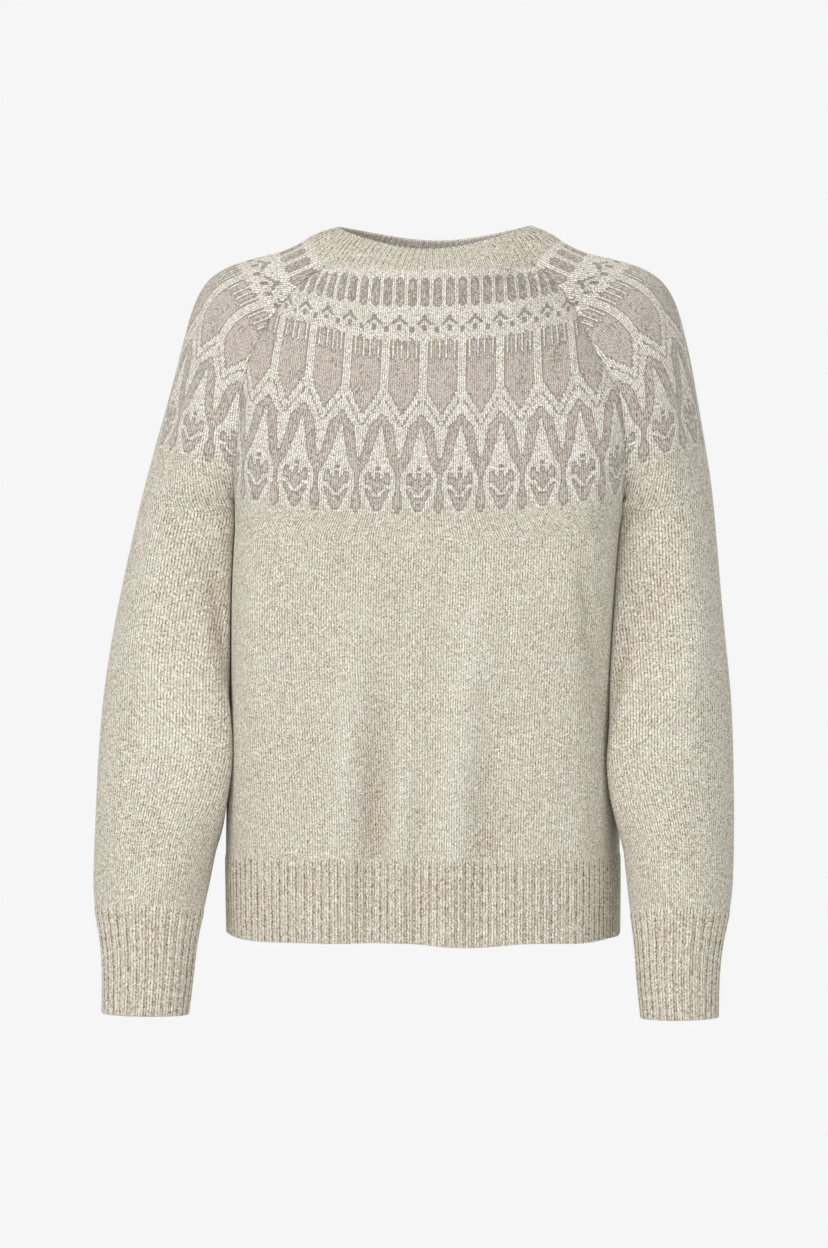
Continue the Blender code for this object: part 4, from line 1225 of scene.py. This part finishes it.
def knit_material(name, stitch, melange, patterned, inside_painted_lighter):
    """Wool knit: yarn colours by stitch, mottled and flecked, darker at seams, with painted shade
    in rib grooves, fold troughs and between wales.

    Its tone is 1 plus the grain and clouds and the painted shade of wales and strands, all about
    their means, less the painted shade of rib grooves and fold troughs (painted light on fold
    ridges) and a bell curve of the distance to the seam. On the inside the tone is painted
    lighter. The yarn's colour is multiplied by 1 plus the fibres' spread times (the tone less 1).
    """
    material = bpy.data.materials.new(name)
    material.use_nodes = True
    tree = material.node_tree
    shader = tree.nodes["Principled BSDF"]
    place = add(tree, "ShaderNodeUVMap", {"uv_map": "stitches"}).outputs[0]
    knit = add(tree, "ShaderNodeGroup", {"node_tree": stitch}, Map=place)
    wool = add(tree, "ShaderNodeGroup", {"node_tree": melange})
    height, tone, grain, wale = (Signal(tree, socket) for socket in knit.outputs)
    fleck, fuzz, cloud = (Signal(tree, socket) for socket in wool.outputs)
    grain = grain * GRAIN + tone * STITCH_TONE + fleck * FLECK
    base = YARNS["oatmeal"][:3]
    if patterned:
        code = read_attribute(tree, "yarn")
        light = code.math("LESS_THAN", GREY - 0.5)
        grain = grain * (light * (1.0 - IN_PATTERN) + IN_PATTERN)
        ramp = tree.nodes.new("ShaderNodeValToRGB")
        ramp.color_ramp.interpolation = "CONSTANT"
        stops = ramp.color_ramp.elements
        for count, colour in enumerate(YARNS.values()):
            start = max(0.0, (count - 0.5) / len(YARNS))
            stop = stops[count] if count < 2 else stops.new(start)
            stop.position = start
            stop.color = colour
        plug(code / len(YARNS), ramp.inputs[0])
        base = ramp.outputs[0]
    seam, painted_shade = read_attribute(tree, "seam"), read_attribute(tree, "painted_shade")
    near = ((seam / SEAM_SHADE_REACH).math("POWER", 2.0) * -1.0).math("EXPONENT")
    # Painted shade of the stitches: darker between wales and between strands
    tone = grain + (wale - WALE_MEAN) * WALE_SHADE + cloud * CLOUD + height * STRAND_PAINTED_SHADE
    # Painted shade in rib grooves and fold troughs, painted light on fold ridges, and darker near
    # the seam
    tone = tone + (1.0 - STRAND_PAINTED_SHADE_MEAN) - painted_shade * GROOVE_SHADE - near * SEAM_SHADE
    # Painted light inside the garment, where shade falls
    if inside_painted_lighter:
        tone = tone * INSIDE_PAINTED_LIGHT
    shade = add(
        tree, "ShaderNodeVectorMath", {"operation": "SCALE"}, i0=FIBRE_SPREAD, Scale=tone - 1.0
    )
    steps = (("ADD", (1.0, 1.0, 1.0)), ("MAXIMUM", (DARKEST, DARKEST, DARKEST)), ("MULTIPLY", base))
    for operation, other in steps:
        shade = add(
            tree, "ShaderNodeVectorMath", {"operation": operation}, i0=shade.outputs[0], i1=other
        )
    plug(shade.outputs[0], shader.inputs["Base Color"])
    relief = fuzz * FUZZ + height
    bump = add(tree, "ShaderNodeBump", Strength=0.55, Distance=0.0006, Height=relief)
    plug(bump.outputs[0], shader.inputs["Normal"])
    for label, value in WOOL_SURFACE.items():
        plug(value, shader.inputs[label])
    return material


# ---- the garment ---------------------------------------------------------------------------

stitch, melange = stitch_group(), melange_group()
yoke, rib = (
    [
        knit_material(slot, stitch, melange, patterned, False),
        knit_material(f"{slot}_inside", stitch, melange, False, True),
    ]
    for slot, patterned in (("yoke_knit", True), ("rib_knit", False))
)

BODY_ENDS, SLEEVE_ENDS = (-1.0, 1.0), (0.0, 1.0)
# Stitches from the middle wale to the seam, below the underarm
FRONT_HALF, BACK_HALF, SLEEVE_HALF = 118, 114, 72
made = {
    "front": knit_panel(
        "front_knit", front_plain, front_surface, 1.0, body_courses(FRONT, NECK_FRONT),
        BODY_STITCH, FRONT_HALF, BODY_ENDS, False, lifted, yoke,
    ),
    "back": knit_panel(
        "back_knit", back_plain, back_surface, -1.0, body_courses(BACK, NECK_BACK),
        BODY_STITCH, BACK_HALF, BODY_ENDS, False, level, yoke,
    ),
    "neckband": neckband("neckband_rib", rib),
    "hem_rib_front": hem_or_cuff(
        "hem_front_rib", front_surface, 1.0, RIB_TOP, HEM, BODY_ENDS, HEM_RIBS_FRONT, False, rib
    ),
    "hem_rib_back": hem_or_cuff(
        "hem_back_rib", back_surface, -1.0, RIB_TOP, HEM, BODY_ENDS, HEM_RIBS_BACK, False, rib
    ),
}
for side, hand in ((1.0, "left"), (-1.0, "right")):
    surface = sleeve_surface(side)
    made[f"sleeve_{hand}"] = knit_panel(
        f"sleeve_{hand}_knit", lambda h, a: sleeve_plain(side, h, a), surface, side,
        SLEEVE_COURSES, SLEEVE_STITCH, SLEEVE_HALF, SLEEVE_ENDS, True, level, yoke,
    )
    made[f"cuff_{hand}"] = hem_or_cuff(
        f"cuff_{hand}_rib", surface, side, CUFF_TOP, CUFF_END, SLEEVE_ENDS, CUFF_RIBS, True, rib
    )

# Width and length of each piece as it was knitted, and its share of that rectangle
CUTS = {
    "front": (0.515, 0.500, 0.85),
    "back": (0.470, 0.516, 0.85),
    "sleeve_left": (0.385, 0.650, 0.74),
    "sleeve_right": (0.385, 0.650, 0.74),
    "neckband": (0.600, 0.031, 1.0),
    "hem_rib_front": (0.498, 0.073, 1.0),
    "hem_rib_back": (0.456, 0.073, 1.0),
    "cuff_left": (0.225, 0.095, 1.0),
    "cuff_right": (0.225, 0.095, 1.0),
}
for node, piece in made.items():
    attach(piece, "root")
    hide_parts(node)
    width, length, share = CUTS[node]

# ---- floor, light and camera ---------------------------------------------------------------

FLOOR = -1.45
FLOOR_RADIUS = 3.0
FLOOR_SIDES = 64
PALE = linear(246, 246, 246)
ROOM_LIGHT = 0.50  # of the backdrop's brightness, on the sweater
AIM = Vector((0.0, 0.0, -0.33))

# Soft boxes: place, size and watts
LIGHTS = {
    "key_left": ((-2.0, -2.4, 1.2), 1.6, 56.0),
    "front": ((0.2, -3.6, -0.1), 1.2, 20.0),
    "fill_right": ((2.2, -2.0, 0.2), 1.8, 18.0),
    "top": ((-0.2, -0.2, 2.2), 2.0, 14.0),
    "back": ((0.3, 2.4, 0.9), 2.0, 14.0),
}


def floor():
    """A round, pale floor far below the sweater."""
    turn = np.arange(FLOOR_SIDES) * 2 * np.pi / FLOOR_SIDES
    edge = FLOOR_RADIUS * np.stack([np.cos(turn), np.sin(turn)], -1)
    mesh = bpy.data.meshes.new("floor")
    mesh.from_pydata([(x, y, FLOOR) for x, y in edge], [], [tuple(range(FLOOR_SIDES))])
    material = bpy.data.materials.new("floor_paint")
    material.use_nodes = True
    shader = material.node_tree.nodes["Principled BSDF"]
    shader.inputs["Base Color"].default_value = PALE
    shader.inputs["Roughness"].default_value = 0.8
    mesh.materials.append(material)
    piece = bpy.data.objects.new("floor", mesh)
    bpy.context.scene.collection.objects.link(piece)
    piece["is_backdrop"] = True


def placed(name, data, place, facing):
    """A light or camera at a place, looking along a direction."""
    piece = bpy.data.objects.new(name, data)
    piece.location = place
    piece.rotation_mode = "QUATERNION"
    piece.rotation_quaternion = facing.to_track_quat("-Z", "Y")
    bpy.context.scene.collection.objects.link(piece)
    return piece


floor()
for name, (place, size, watts) in LIGHTS.items():
    lamp = bpy.data.lights.new(name, "AREA")
    lamp.shape, lamp.size, lamp.energy = "SQUARE", size, watts
    placed(name, lamp, place, AIM - Vector(place))

# The backdrop is almost white to the camera, and gives the sweater ROOM_LIGHT of that.
world = bpy.data.worlds.new("studio")
bpy.context.scene.world = world
world.use_nodes = True
backdrop = world.node_tree.nodes["Background"]
backdrop.inputs["Color"].default_value = PALE
path = add(world.node_tree, "ShaderNodeLightPath")
shown = Signal(world.node_tree, path.outputs["Is Camera Ray"])
plug(shown * (1.0 - ROOM_LIGHT) + ROOM_LIGHT, backdrop.inputs["Strength"])
bpy.context.scene.view_settings.view_transform = "Standard"

AZIMUTH = np.radians(4.0)
DISTANCE = 3.2
VIEW_HEIGHT = 1.08576  # metres seen from bottom to top at the sweater
VIEW_LEFT = 0.0178  # how far left of the sweater's middle the camera looks
VIEW_LEVEL = -0.333
right = Vector((np.cos(AZIMUTH), np.sin(AZIMUTH), 0.0))
away = Vector((np.sin(AZIMUTH), -np.cos(AZIMUTH), 0.0))
target = -VIEW_LEFT * right + Vector((0.0, 0.0, VIEW_LEVEL))
lens = bpy.data.cameras.new("camera")
lens.sensor_fit = "VERTICAL"
lens.sensor_height = 36.0
lens.lens = lens.sensor_height * DISTANCE / VIEW_HEIGHT
lens.clip_end = 50.0
bpy.context.scene.camera = placed("camera", lens, target + away * DISTANCE, -away)

str([[list(corner) for corner in box] for box in (cad_box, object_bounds())])
